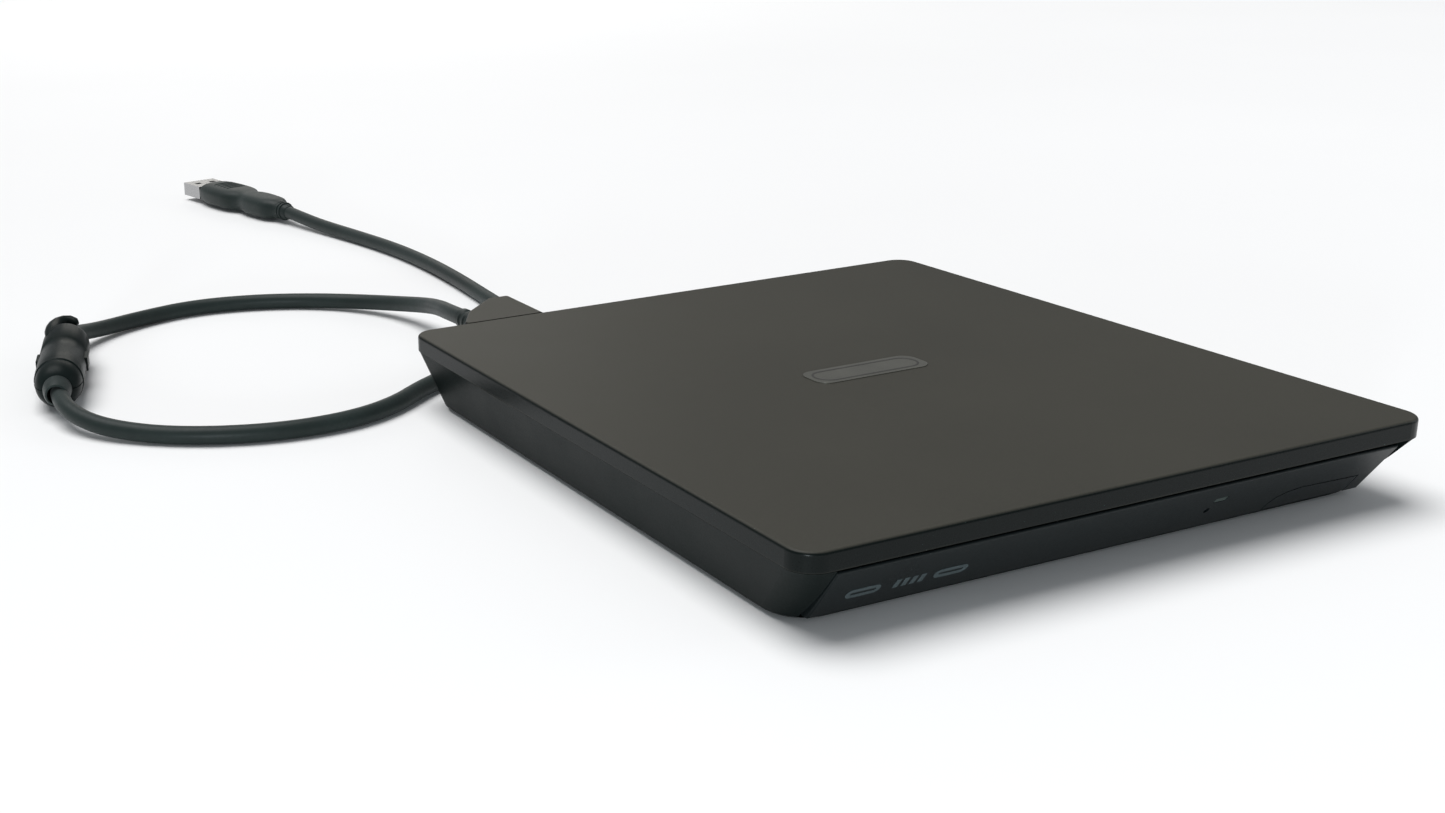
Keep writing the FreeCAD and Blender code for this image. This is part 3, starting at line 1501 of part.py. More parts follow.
def rounded_path(points):
    """Straight runs joined by the largest tangent arcs that the runs allow, and the arcs' radii."""
    edges, radii = [], []
    start = points[0]
    for before, corner, after in zip(points, points[1:], points[2:]):
        back = (before - corner).normalize()
        ahead = (after - corner).normalize()
        reach = ARC_SHARE * min((corner - before).Length, (after - corner).Length)
        half_turn = (math.pi - back.getAngle(ahead)) / 2
        radius = reach / math.tan(half_turn)
        radii.append(radius)
        first, last = corner + back * reach, corner + ahead * reach
        middle_way = (back + ahead).normalize()
        middle = corner + middle_way * (radius / math.cos(half_turn) - radius)
        edges.append(Part.LineSegment(start, first).toShape())
        edges.append(Part.Arc(first, middle, last).toShape())
        start = last
    edges.append(Part.LineSegment(start, points[-1]).toShape())
    return Part.Wire(edges), radii


def cord():
    path, radii = rounded_path([V(*point) for point in ROUTE])
    radius = S.cord_radius.number
    start = path.Edges[0]
    heading = start.tangentAt(start.FirstParameter)
    circle = Part.Circle(start.valueAt(start.FirstParameter), heading, radius)
    tube = path.makePipeShell([Part.Wire(circle.toShape())], True, False)
    expected = math.pi * radius**2 * path.Length
    print("cord length", round(path.Length, 1), "volume over expected", round(tube.Volume / expected, 4))
    print("cord radii", [round(value, 1) for value in radii])
    if abs(tube.Volume / expected - 1) > 0.01:
        raise RuntimeError("the cord's volume is wrong")
    thing = doc.addObject("Part::Feature", "cord")
    thing.Shape = tube
    keep(thing, "cord")


# ---- build, check and write ----


def build_all():
    top_cover()
    bottom_case()
    rubber_feet()
    case_screws()
    flat_trim()
    cable_hood()
    cord_boot()
    bridge_board()
    bridge_components()
    bridge_socket()
    drive_pan()
    drive_lid()
    drive_screws()
    rails()
    tray_frame()
    tray_rim()
    tray_shield()
    tray_bezel()
    status_lens()
    eject_button()
    eject_switch()
    tray_board()
    ribbon_cable()
    deck_plate()
    spindle_parts()
    turntable()
    disc_claws()
    guide_rods()
    feed_drive()
    pickup()
    latch_parts()
    solenoid()
    bead()
    plug_strain_relief()
    plug_body()
    plug_tip()
    cord()


def write_parts():
    """Check every object, then write one STEP file for each sub-part."""
    doc.recompute()
    failed = [item.Name for item in doc.Objects if {"Invalid", "Error"} & set(item.State)]
    if failed:
        raise RuntimeError(f"failed objects: {failed}")
    os.makedirs("parts", exist_ok=True)
    for thing in PARTS:
        shape = thing.Shape
        if shape.isNull() or not shape.isValid() or shape.Volume <= 0:
            raise RuntimeError(f"{thing.Label} has no valid solid")
        shape.exportStep(f"parts/{thing.Label}.step")
    print("sub-parts", len(PARTS))


build_all()
write_parts()
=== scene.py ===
import json
import math

import bmesh
import bpy
from mathutils import Matrix, Vector


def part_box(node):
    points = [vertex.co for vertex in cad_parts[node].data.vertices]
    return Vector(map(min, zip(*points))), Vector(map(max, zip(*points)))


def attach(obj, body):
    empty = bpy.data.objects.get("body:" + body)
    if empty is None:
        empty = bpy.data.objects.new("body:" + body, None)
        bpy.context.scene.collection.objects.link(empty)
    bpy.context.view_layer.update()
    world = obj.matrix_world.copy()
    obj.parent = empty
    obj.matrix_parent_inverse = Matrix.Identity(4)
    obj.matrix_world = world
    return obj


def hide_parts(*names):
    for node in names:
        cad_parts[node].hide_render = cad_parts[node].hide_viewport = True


# An external optical disc drive on a pale table. Metres; +X right along the front, the tray opens towards -Y.

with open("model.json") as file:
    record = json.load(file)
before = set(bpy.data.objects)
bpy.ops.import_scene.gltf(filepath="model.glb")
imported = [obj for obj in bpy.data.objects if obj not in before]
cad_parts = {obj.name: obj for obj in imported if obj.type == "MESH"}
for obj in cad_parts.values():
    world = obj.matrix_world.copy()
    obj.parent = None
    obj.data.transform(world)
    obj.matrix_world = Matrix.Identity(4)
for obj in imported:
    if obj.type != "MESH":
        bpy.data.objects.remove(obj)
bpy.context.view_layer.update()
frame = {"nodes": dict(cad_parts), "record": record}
MM = 0.001


# ---- camera and cord ----

CAMERA_AT = Vector((-225.04, -290.53, 126.45)) * MM
CAMERA_TURN = (72.223, 1.963, -24.053)
LENS_MM = 44.53
SENSOR_MM = 36
SIDE_SHIFT = 0.2024


def make_camera():
    data = bpy.data.cameras.new("camera")
    data.sensor_width = SENSOR_MM
    data.lens = LENS_MM
    data.shift_x = SIDE_SHIFT
    data.clip_start = 0.01
    data.clip_end = 20
    camera = bpy.data.objects.new("camera", data)
    camera.location = CAMERA_AT
    camera.rotation_euler = [math.radians(angle) for angle in CAMERA_TURN]
    bpy.context.scene.collection.objects.link(camera)
    bpy.context.scene.camera = camera


# The cord's route in mm: out of the boot, through the bead, behind the case's corner, to the plug.
ROUTE = [
    (-45.5, 101, 11.3), (-45.2, 110, 10.7), (-42.8, 121.5, 9.0), (-41.0, 134, 6.6), (-43.0, 148, 4.2),
    (-49, 161, 2.7), (-60, 172, 2.15), (-75, 179.5, 2.15), (-92, 182.5, 2.15), (-108.5, 178, 2.15),
    (-122.5, 169.5, 2.9), (-131.7, 159.2, 5.7), (-139.65, 131.6, 6.02), (-147.8, 103.8, 5.7),
    (-144.2, 90.3, 3.2), (-134.2, 79.1, 2.15), (-121, 70.2, 2.15), (-105.5, 65.2, 2.15), (-90, 65.4, 2.15),
    (-77.5, 70.5, 2.15), (-67.5, 78.8, 2.15), (-56, 85.8, 2.15), (-45, 91, 2.15), (-34.5, 97.8, 2.15),
    (-26.5, 107.5, 2.15), (-20.7, 119.5, 2.15), (-17.6, 133.5, 2.15), (-16.2, 150.5, 2.15),
    (-14.3, 171, 2.15), (-13.2, 194, 2.15), (-13.9, 217.5, 2.15), (-17.3, 241.5, 2.15),
    (-21.8, 263, 2.5), (-24.54, 276, 3.4), (-26.1, 284.2, 4.0),
]
CORD_WIDTH = 4.2 * MM
ORDER = 3


def make_cord():
    curve = bpy.data.curves.new("cord_lead", "CURVE")
    curve.dimensions = "3D"
    spline = curve.splines.new("NURBS")
    spline.points.add(len(ROUTE) - 1)
    for point, place in zip(spline.points, ROUTE):
        point.co = (*(Vector(place) * MM), 1)
    spline.order_u = ORDER
    spline.use_endpoint_u = True
    spline.resolution_u = 12
    curve.bevel_depth = CORD_WIDTH / 2
    curve.bevel_resolution = 7
    curve.use_fill_caps = True
    cord = bpy.data.objects.new("cord_lead", curve)
    bpy.context.scene.collection.objects.link(cord)
    cord.data.materials.append(MATERIALS["cord_jacket"])
    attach(cord, "enclosure")
    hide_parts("cord")
    return cord


# ---- materials ----


# One minus the cosine between the rounded and the true normal at a full edge.
SHARP_TURN = 0.25


class Build:
    """Adds nodes to one material and links them up."""

    def __init__(self, name):
        self.material = bpy.data.materials.new(name)
        self.material.use_nodes = True
        self.tree = self.material.node_tree
        self.shader = self.tree.nodes["Principled BSDF"]
        self.place = self.add("ShaderNodeTexCoord").outputs["Object"]

    def add(self, kind, **values):
        node = self.tree.nodes.new(kind)
        for key, value in values.items():
            setattr(node, key, value)
        return node

    def feed(self, socket, source):
        if hasattr(source, "is_output"):
            self.tree.links.new(source, socket)
        else:
            socket.default_value = source

    def noise(self, scale, detail=4, rough=0.55, stretch=None):
        node = self.add("ShaderNodeTexNoise")
        node.inputs["Scale"].default_value = scale
        node.inputs["Detail"].default_value = detail
        node.inputs["Roughness"].default_value = rough
        source = self.place
        if stretch:
            mapping = self.add("ShaderNodeMapping")
            mapping.inputs["Scale"].default_value = stretch
            self.feed(mapping.inputs["Vector"], self.place)
            source = mapping.outputs["Vector"]
        self.feed(node.inputs["Vector"], source)
        return node.outputs["Fac"]

    def math(self, operation, a, b, clamp=False):
        node = self.add("ShaderNodeMath", operation=operation, use_clamp=clamp)
        self.feed(node.inputs[0], a)
        self.feed(node.inputs[1], b)
        return node.outputs[0]

    def span(self, value, low, high, out_low, out_high):
        node = self.add("ShaderNodeMapRange")
        for key, number in (("From Min", low), ("From Max", high), ("To Min", out_low), ("To Max", out_high)):
            node.inputs[key].default_value = number
        self.feed(node.inputs["Value"], value)
        return node.outputs["Result"]

    def mix(self, share, a, b):
        node = self.add("ShaderNodeMix", data_type="RGBA")
        self.feed(node.inputs["Factor"], share)
        self.feed(node.inputs["A"], a)
        self.feed(node.inputs["B"], b)
        return node.outputs["Result"]

    def edges(self, width):
        """How near a surface point is to a sharp edge, from 0 to 1."""
        bevel = self.add("ShaderNodeBevel", samples=6)
        bevel.inputs["Radius"].default_value = width
        geometry = self.add("ShaderNodeNewGeometry")
        dot = self.add("ShaderNodeVectorMath", operation="DOT_PRODUCT")
        self.feed(dot.inputs[0], bevel.outputs["Normal"])
        self.feed(dot.inputs[1], geometry.outputs["Normal"])
        away = self.math("SUBTRACT", 1.0, dot.outputs["Value"], clamp=True)
        return self.span(away, 0.0, SHARP_TURN, 0.0, 1.0)

    def bump(self, height, strength, distance):
        node = self.add("ShaderNodeBump")
        node.inputs["Strength"].default_value = strength
        node.inputs["Distance"].default_value = distance
        self.feed(node.inputs["Height"], height)
        self.feed(self.shader.inputs["Normal"], node.outputs["Normal"])


def rgba(color):
    return (*color, 1.0)


def scaled(color, factor):
    return rgba([min(channel * factor, 1.0) for channel in color])


def surface(
    name, color, rough, metal=0.0, variation=0.18, patch=60, grain=2500, relief=0.02, depth=0.05,
    wear=1.6, wear_width=0.5, wear_share=0.35, rough_spread=0.08, stretch=None, sheen=0.0, specular=0.16,
):
    """A worn, slightly uneven surface: patches of tone, fine grain in roughness and bump, paler edges."""
    build = Build(name)
    if not metal:
        build.shader.inputs["Specular IOR Level"].default_value = specular
    tone = build.noise(patch, detail=5)
    fine = build.noise(grain, detail=3, stretch=stretch)
    base = build.mix(
        build.span(tone, 0.3, 0.7, 0.0, 1.0), scaled(color, 1 - variation), scaled(color, 1 + variation)
    )
    speckled = build.mix(build.span(fine, 0.35, 0.65, 0.0, 0.5), base, scaled(color, 1 - variation * 0.7))
    broken = build.math("MULTIPLY", build.edges(wear_width * MM), build.span(tone, 0.35, 0.65, 0.3, 1.0))
    worn = build.math("MULTIPLY", broken, wear_share)
    build.feed(build.shader.inputs["Base Color"], build.mix(worn, speckled, scaled(color, wear)))
    spread = rough_spread / 2
    uneven = build.math("ADD", build.span(tone, 0.3, 0.7, -spread, spread), rough)
    grained = build.math("ADD", uneven, build.span(fine, 0.3, 0.7, -spread, spread))
    rubbed = build.math("MULTIPLY", worn, 0.12)
    build.feed(build.shader.inputs["Roughness"], build.math("SUBTRACT", grained, rubbed))
    build.shader.inputs["Metallic"].default_value = metal
    if sheen:
        build.shader.inputs["Sheen Weight"].default_value = sheen
    build.bump(fine, relief * 10, depth * MM)
    return build.material


def board_surface(name, mask_color, trace_color):
    """Solder mask over copper: fine straight traces, pads and a gloss coat."""
    build = Build(name)
    cells = build.add("ShaderNodeTexVoronoi", distance="MANHATTAN", feature="F1")
    cells.inputs["Scale"].default_value = 420
    build.feed(cells.inputs["Vector"], build.place)
    brick = build.add("ShaderNodeTexBrick")
    brick.inputs["Scale"].default_value = 260
    brick.inputs["Mortar Size"].default_value = 0.06
    build.feed(brick.inputs["Vector"], build.place)
    lines = build.span(brick.outputs["Fac"], 0.0, 1.0, 0.0, 0.6)
    pads = build.span(cells.outputs["Distance"], 0.12, 0.16, 1.0, 0.0)
    toned = build.mix(build.noise(90), rgba(mask_color), scaled(mask_color, 1.5))
    traced = build.mix(lines, toned, rgba(trace_color))
    build.feed(build.shader.inputs["Base Color"], build.mix(pads, traced, (0.55, 0.5, 0.4, 1)))
    build.feed(build.shader.inputs["Roughness"], build.span(build.noise(700), 0.3, 0.7, 0.25, 0.42))
    build.shader.inputs["Coat Weight"].default_value = 0.4
    build.bump(lines, 0.25, 0.03 * MM)
    return build.material


def clear_surface(name, color, rough, alpha):
    """A small moulded clear part with faint flow marks."""
    build = Build(name)
    flow = build.noise(900, stretch=(1, 1, 6))
    build.feed(build.shader.inputs["Base Color"], build.mix(flow, rgba(color), scaled(color, 0.75)))
    build.feed(build.shader.inputs["Roughness"], build.span(flow, 0.3, 0.7, rough, rough + 0.08))
    build.shader.inputs["Transmission Weight"].default_value = 1 - alpha
    build.shader.inputs["IOR"].default_value = 1.49
    build.bump(flow, 0.1, 0.02 * MM)
    return build.material


def cover_surface(name):
    """The lid's fine matte paint on its upward faces and glossier plastic round its edge, whose much darker
    colour is painted shade for the sides turned from the light.
    """
    build = Build(name)
    # The first colour is the lid's paint; the second, far darker one is painted shade for the upright edge.
    paint, edge_shade_color = (0.040, 0.0385, 0.0315), (0.0026, 0.0048, 0.0046)
    split = build.add("ShaderNodeSeparateXYZ")
    coordinates = build.add("ShaderNodeTexCoord")
    build.feed(split.inputs[0], coordinates.outputs["Normal"])
    # Share of each face turned upwards: it sets the gloss, and in the colour it paints the upright edge
    # darker as shade.
    level_gloss_and_shade = build.span(split.outputs["Z"], 0.55, 0.97, 0.0, 1.0)
    tone, fine = build.noise(22, detail=5), build.noise(2600, detail=4, rough=0.7)
    painted = build.mix(build.span(tone, 0.3, 0.7, 0.0, 1.0), scaled(paint, 0.9), scaled(paint, 1.1))
    speckle = build.mix(build.span(fine, 0.35, 0.7, 0.0, 0.75), painted, scaled(paint, 1.45))
    wear = build.math("MULTIPLY", build.edges(0.6 * MM), build.span(tone, 0.35, 0.65, 0.1, 0.4))
    # Painted shade: the upright edge takes the dark colour in place of the paint.
    body = build.mix(level_gloss_and_shade, rgba(edge_shade_color), speckle)
    build.feed(build.shader.inputs["Base Color"], build.mix(wear, body, scaled(paint, 1.6)))
    grain = build.span(fine, 0.3, 0.7, -0.04, 0.04)
    matte = build.math("ADD", build.span(tone, 0.3, 0.7, 0.47, 0.53), grain)
    gloss = build.span(fine, 0.3, 0.7, 0.26, 0.32)
    blend = build.add("ShaderNodeMix", data_type="FLOAT")
    build.feed(blend.inputs["Factor"], level_gloss_and_shade)
    build.feed(blend.inputs["A"], gloss)
    build.feed(blend.inputs["B"], matte)
    build.feed(build.shader.inputs["Roughness"], blend.outputs["Result"])
    build.shader.inputs["Specular IOR Level"].default_value = 0.13
    build.bump(fine, 0.3, 0.03 * MM)
    return build.material


BLACK = (0.0056, 0.0084, 0.008)
MATERIALS = {
    "cover_plastic": cover_surface("cover_plastic"),
    "case_plastic": surface(
        "case_plastic", BLACK, 0.4, grain=3200, relief=0.03, wear=2.6, wear_width=0.6, specular=0.05,
    ),
    "bezel_plastic": surface(
        "bezel_plastic", (0.0082, 0.0112, 0.0116), 0.33, grain=2600, relief=0.015, wear=2.4,
    ),
    "tray_plastic": surface("tray_plastic", (0.014, 0.014, 0.0155), 0.45, grain=3000, relief=0.04, wear=2.4),
    "rubber_black": surface("rubber_black", (0.016, 0.016, 0.016), 0.75, grain=1800, relief=0.06, sheen=0.15),
    "cord_jacket": surface(
        "cord_jacket", (0.0165, 0.0245, 0.023), 0.46, variation=0.22, patch=90, grain=1500, relief=0.03,
        depth=0.08, wear=1.8, sheen=0.06,
    ),
    "bead_plastic": surface(
        "bead_plastic", (0.0075, 0.0115, 0.011), 0.38, grain=2400, relief=0.03, wear=2.6, specular=0.07,
    ),
    "ferrite": surface("ferrite", (0.06, 0.06, 0.062), 0.6, metal=0.4, relief=0.08, grain=1200),
    "badge_metal": surface(
        "badge_metal", (0.15, 0.148, 0.128), 0.38, metal=0.7, grain=900, relief=0.03,
        stretch=(1, 22, 22), wear=1.7,
    ),
    "label_film": surface(
        "label_film", (0.42, 0.42, 0.4), 0.45, variation=0.05, grain=1600, relief=0.02, wear=0.6,
    ),
    "zinc_sheet": surface(
        "zinc_sheet", (0.4, 0.405, 0.41), 0.36, metal=1.0, variation=0.04, patch=30, grain=900,
        relief=0.015, stretch=(1, 24, 1), wear=1.4, rough_spread=0.06,
    ),
    "polished_steel": surface(
        "polished_steel", (0.4, 0.4, 0.405), 0.25, metal=1.0, variation=0.04, patch=40, grain=1500,
        relief=0.01, wear=1.2, rough_spread=0.05,
    ),
    "brass_parts": surface(
        "brass_parts", (0.66, 0.46, 0.2), 0.26, metal=1.0, variation=0.15, grain=1500, relief=0.01,
    ),
    "circuit_board": board_surface("circuit_board", (0.008, 0.06, 0.028), (0.02, 0.13, 0.06)),
    "chip_plastic": surface("chip_plastic", (0.018, 0.018, 0.02), 0.55, grain=2600, relief=0.05, wear=2.5),
    "sled_metal": surface(
        "sled_metal", (0.4, 0.4, 0.41), 0.44, metal=0.9, variation=0.07, patch=60, grain=1400,
        relief=0.06, wear=1.4,
    ),
    "hub_plastic": surface("hub_plastic", (0.03, 0.03, 0.033), 0.35, grain=2600, relief=0.02, wear=2.6),
    "flex_film": surface(
        "flex_film", (0.42, 0.2, 0.045), 0.3, variation=0.2, grain=900, relief=0.02, stretch=(20, 1, 1),
    ),
    "lamp_plastic": clear_surface("lamp_plastic", (0.06, 0.085, 0.075), 0.3, 0.75),
    "lens_glass": clear_surface("lens_glass", (0.55, 0.6, 0.85), 0.04, 0.35),
    "badge_line": surface(
        "badge_line", (0.05, 0.048, 0.044), 0.45, metal=0.4, grain=900, relief=0.03, wear=1.4,
    ),
    "label_ink": surface(
        "label_ink", (0.05, 0.05, 0.052), 0.5, variation=0.15, grain=3000, relief=0.01, wear=1.2,
    ),
    "winding": surface(
        "winding", (0.5, 0.2, 0.08), 0.3, metal=0.9, grain=600, relief=0.08, stretch=(1, 1, 24), wear=1.3,
    ),
    "mark_print": surface(
        "mark_print", (0.075, 0.095, 0.1), 0.5, variation=0.25, patch=700, grain=3500, relief=0.02,
    ),
}


def dress_frame():
    """Give every carried-over CAD node the material of its slot."""
    slots = {item["node"]: item["material_slot"] for item in frame["record"]["subparts"]}
    for node, thing in frame["nodes"].items():
        thing.data.materials.clear()
        thing.data.materials.append(MATERIALS[slots[node]])


# ---- shapes: each gives points in mm and the faces between them ----


def skin(rings, wrap=True, loop=False, caps=False):
    """Faces between rings of points. wrap closes each ring, loop joins the last ring to the first."""
    count = len(rings[0])
    faces = []
    for i in range(len(rings) if loop else len(rings) - 1):
        near, far = i * count, (i + 1) % len(rings) * count
        for j in range(count if wrap else count - 1):
            k = (j + 1) % count
            faces.append((near + j, near + k, far + k, far + j))
    if caps:
        last = (len(rings) - 1) * count
        faces += [tuple(range(count)), tuple(range(last, last + count))]
    return [point for ring in rings for point in ring], faces


def lathe(profile, steps=72, start=0, sweep=360, closed=False):
    """A (radius, height) profile turned about Z, all the way or in part."""
    full = sweep == 360
    rings = []
    for i in range(steps if full else steps + 1):
        angle = math.radians(start + sweep * i / steps)
        rings.append([(r * math.cos(angle), r * math.sin(angle), z) for r, z in profile])
    return skin(rings, wrap=closed, loop=full, caps=not full)


def prism(outline, low, high):
    return skin([[(x, y, low) for x, y in outline], [(x, y, high) for x, y in outline]], caps=True)


def oblong(left, near, right, far):
    return [(left, near), (right, near), (right, far), (left, far)]


def pill(length, width, steps=10):
    """An outline with round ends, lying along X about the origin."""
    reach = length / 2 - width / 2
    points = []
    for side, first in ((1, -90), (-1, 90)):
        for i in range(steps + 1):
            angle = math.radians(first + 180 * i / steps)
            points.append((side * reach + width / 2 * math.cos(angle), width / 2 * math.sin(angle)))
    return points


def frame_ring(outer, inner, low, high):
    """A flat frame between two outlines of as many points."""
    sides = ((outer, low), (outer, high), (inner, high), (inner, low))
    return skin([[(x, y, z) for x, y in line] for line, z in sides], loop=True)


def oval(y, wide, high, power, lift=0, steps=56):
    """One cross-section at a distance along Y: an ellipse that squares up as power grows."""
    ring = []
    for i in range(steps):
        angle = 2 * math.pi * i / steps
        cos, sin = math.cos(angle), math.sin(angle)
        x = math.copysign(abs(cos) ** (2 / power), cos) * wide
        z = math.copysign(abs(sin) ** (2 / power), sin) * high
        ring.append((x, y, lift + z))
    return ring


def screw_head(radius, high, slot, steps=48):
    """A domed head with a cross-shaped recess, standing on the XY plane."""
    arm, half = radius * 0.58, slot / 2
    corners = []
    for turn in range(4):
        for x, y in ((arm, -half), (arm, half), (half, half)):
            corners.append(Vector((x, y, 0)))
            corners[-1].rotate(Matrix.Rotation(math.pi / 2 * turn, 3, "Z"))
    per_corner = steps // len(corners)
    cross = []
    for i, corner in enumerate(corners):
        ahead = corners[(i + 1) % len(corners)]
        cross += [corner.lerp(ahead, j / per_corner) for j in range(per_corner)]
    rings = []
    for share, z in ((0, 0), (1, 0), (1, high * 0.55), (0.93, high * 0.8), (0.8, high * 0.95), (0.7, high)):
        ring = []
        for point in cross:
            angle = math.atan2(point.y, point.x)
            ring.append((radius * share * math.cos(angle), radius * share * math.sin(angle), z))
        rings.append(ring)
    rings.append([(p.x, p.y, high) for p in cross])
    rings.append([(p.x * 0.92, p.y * 0.92, high * 0.3) for p in cross])
    rings.append([(0, 0, high * 0.22) for _ in cross])
    return skin(rings)


def screw_thread(radius, depth, pitch, start, end, steps=24, per_turn=10):
    """A helical thread along X: the radius rises and falls with the angle and the distance."""
    rings = []
    count = round((end - start) / pitch * per_turn)
    for i in range(count + 1):
        x = start + (end - start) * i / count
        ring = []
        for j in range(steps):
            phase = (x / pitch - j / steps) % 1
            crest = min(1.0, 2.6 * abs(phase - 0.5))
            r = radius - depth * (1 - crest)
            angle = 2 * math.pi * j / steps
            ring.append((x, r * math.cos(angle), r * math.sin(angle)))
        rings.append(ring)
    return skin(rings, caps=True)


def tapered_sweep(line, widths, heights, steps=28):
    """An oval section carried along a smooth line of points, with its own width and height at each."""
    points = [Vector(point) for point in line]
    rings = []
    for i, point in enumerate(points):
        ahead = points[min(i + 1, len(points) - 1)] - points[max(i - 1, 0)]
        side = ahead.cross(Vector((0, 0, 1))).normalized()
        rise = side.cross(ahead).normalized()
        ring = []
        for j in range(steps):
            angle = 2 * math.pi * j / steps
            ring.append(point + side * widths[i] * math.cos(angle) + rise * heights[i] * math.sin(angle))
        rings.append([tuple(p) for p in ring])
    return skin(rings, caps=True)


SHARP_ANGLE = 38


def piece(name, shape, body, slot, at=Matrix(), replaced=(), soft=0.0, look=None):
    """One finished mesh: its faces turned outwards, its edges softened by soft mm, riding on its body."""
    points, faces = shape
    mesh = bpy.data.meshes.new(name)
    work = bmesh.new()
    verts = [work.verts.new((at @ Vector(point)) * MM) for point in points]
    for face in faces:
        work.faces.new([verts[i] for i in face])
    bmesh.ops.remove_doubles(work, verts=work.verts, dist=0.001 * MM)
    bmesh.ops.recalc_face_normals(work, faces=work.faces)
    work.to_mesh(mesh)
    work.free()
    mesh.shade_smooth()
    mesh.set_sharp_from_angle(angle=math.radians(SHARP_ANGLE))
    thing = bpy.data.objects.new(name, mesh)
    bpy.context.scene.collection.objects.link(thing)
    if soft:
        bevel = thing.modifiers.new("soft_edges", "BEVEL")
        bevel.width = soft * MM
        bevel.segments = 3
        bevel.limit_method = "ANGLE"
        bevel.angle_limit = math.radians(SHARP_ANGLE)
        bevel.harden_normals = True
    mesh.materials.append(MATERIALS[look or slot])
    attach(thing, body)
    if replaced:
        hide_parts(*replaced)
    return thing


def turned_place(x, y, z, turn):
    return Matrix.Translation((x, y, z)) @ Matrix.Rotation(math.radians(turn), 4, "Z")


# Frames that match the CAD's: the bead and the plug run along their own +Y, the deck along its own +X.
BEAD = turned_place(-139.75, 131.5, 6, -16.2)
PLUG = turned_place(-26.1, 284.2, 4, 10.8)
DECK = turned_place(0, -3.6, 0, 225)
ALONG_Y = Matrix.Rotation(math.radians(-90), 4, "X")
LYING = BEAD @ ALONG_Y


# ---- pieces on the cord ----


BEAD_HALF = 22.4
BEAD_RADIUS = 5.9
# The hooked clip: each point of its middle line on the bead, then its half-width and half-height there.
HOOK = [
    (-3.1, 9.5, 3.1, 0.7, 0.5), (-3.2, 12.5, 3.6, 1.5, 1.2), (-3.3, 16, 3.8, 1.8, 1.7),
    (-3.2, 19, 3.8, 1.85, 1.8), (-2.9, 21.6, 3.8, 1.8, 1.8), (-2.1, 23.8, 3.9, 1.7, 1.75),
    (-0.7, 25.2, 4.0, 1.6, 1.65), (0.9, 25.3, 4.0, 1.45, 1.5), (2.0, 24.5, 3.9, 1.2, 1.2),
    (2.5, 23.6, 3.8, 0.7, 0.7), (2.6, 23.2, 3.8, 0.15, 0.15),
]
# The plug's sections: distance from the cord's end, half-width, half-height and squareness.
PLUG_SECTIONS = [
    (0, 2.15, 2.15, 2), (0.5, 2.5, 2.5, 2), (3, 2.7, 2.7, 2), (5.5, 2.95, 2.85, 2.1), (7, 3.5, 3.15, 2.3),
    (8.6, 4.5, 3.5, 2.6), (10.4, 5.2, 3.7, 2.8), (13, 5.5, 3.75, 2.9), (17, 5.7, 3.8, 3),
    (21, 5.75, 3.8, 3), (23.6, 5.55, 3.75, 2.9), (25.8, 5.05, 3.6, 2.8), (27.5, 4.85, 3.5, 2.7),
    (29.2, 5.1, 3.6, 2.7), (31.4, 6.2, 3.75, 2.8), (33.8, 7.1, 3.85, 2.9), (37, 7.55, 3.85, 3),
    (43, 7.7, 3.85, 3), (48, 7.5, 3.85, 2.9), (51.5, 7.0, 3.75, 2.8), (53.3, 6.55, 3.5, 2.8),
    (54.2, 6.1, 3.1, 2.9), (54.5, 5.6, 2.6, 3),
]
# One raised grip bar on the plug: distance from its middle, half-width and height above GRIP_BASE.
GRIP_BAR = [
    (-0.55, 3.2, 0.12), (-0.4, 3.6, 0.3), (-0.15, 3.8, 0.42),
    (0.15, 3.8, 0.42), (0.4, 3.6, 0.3), (0.55, 3.2, 0.12),
]
GRIP_BASE = 3.7
GRIP_PLACES = (37.5, 39.8, 42.1, 44.4, 46.7)
RIB_PLACES = (2.2, 3.9, 5.6)


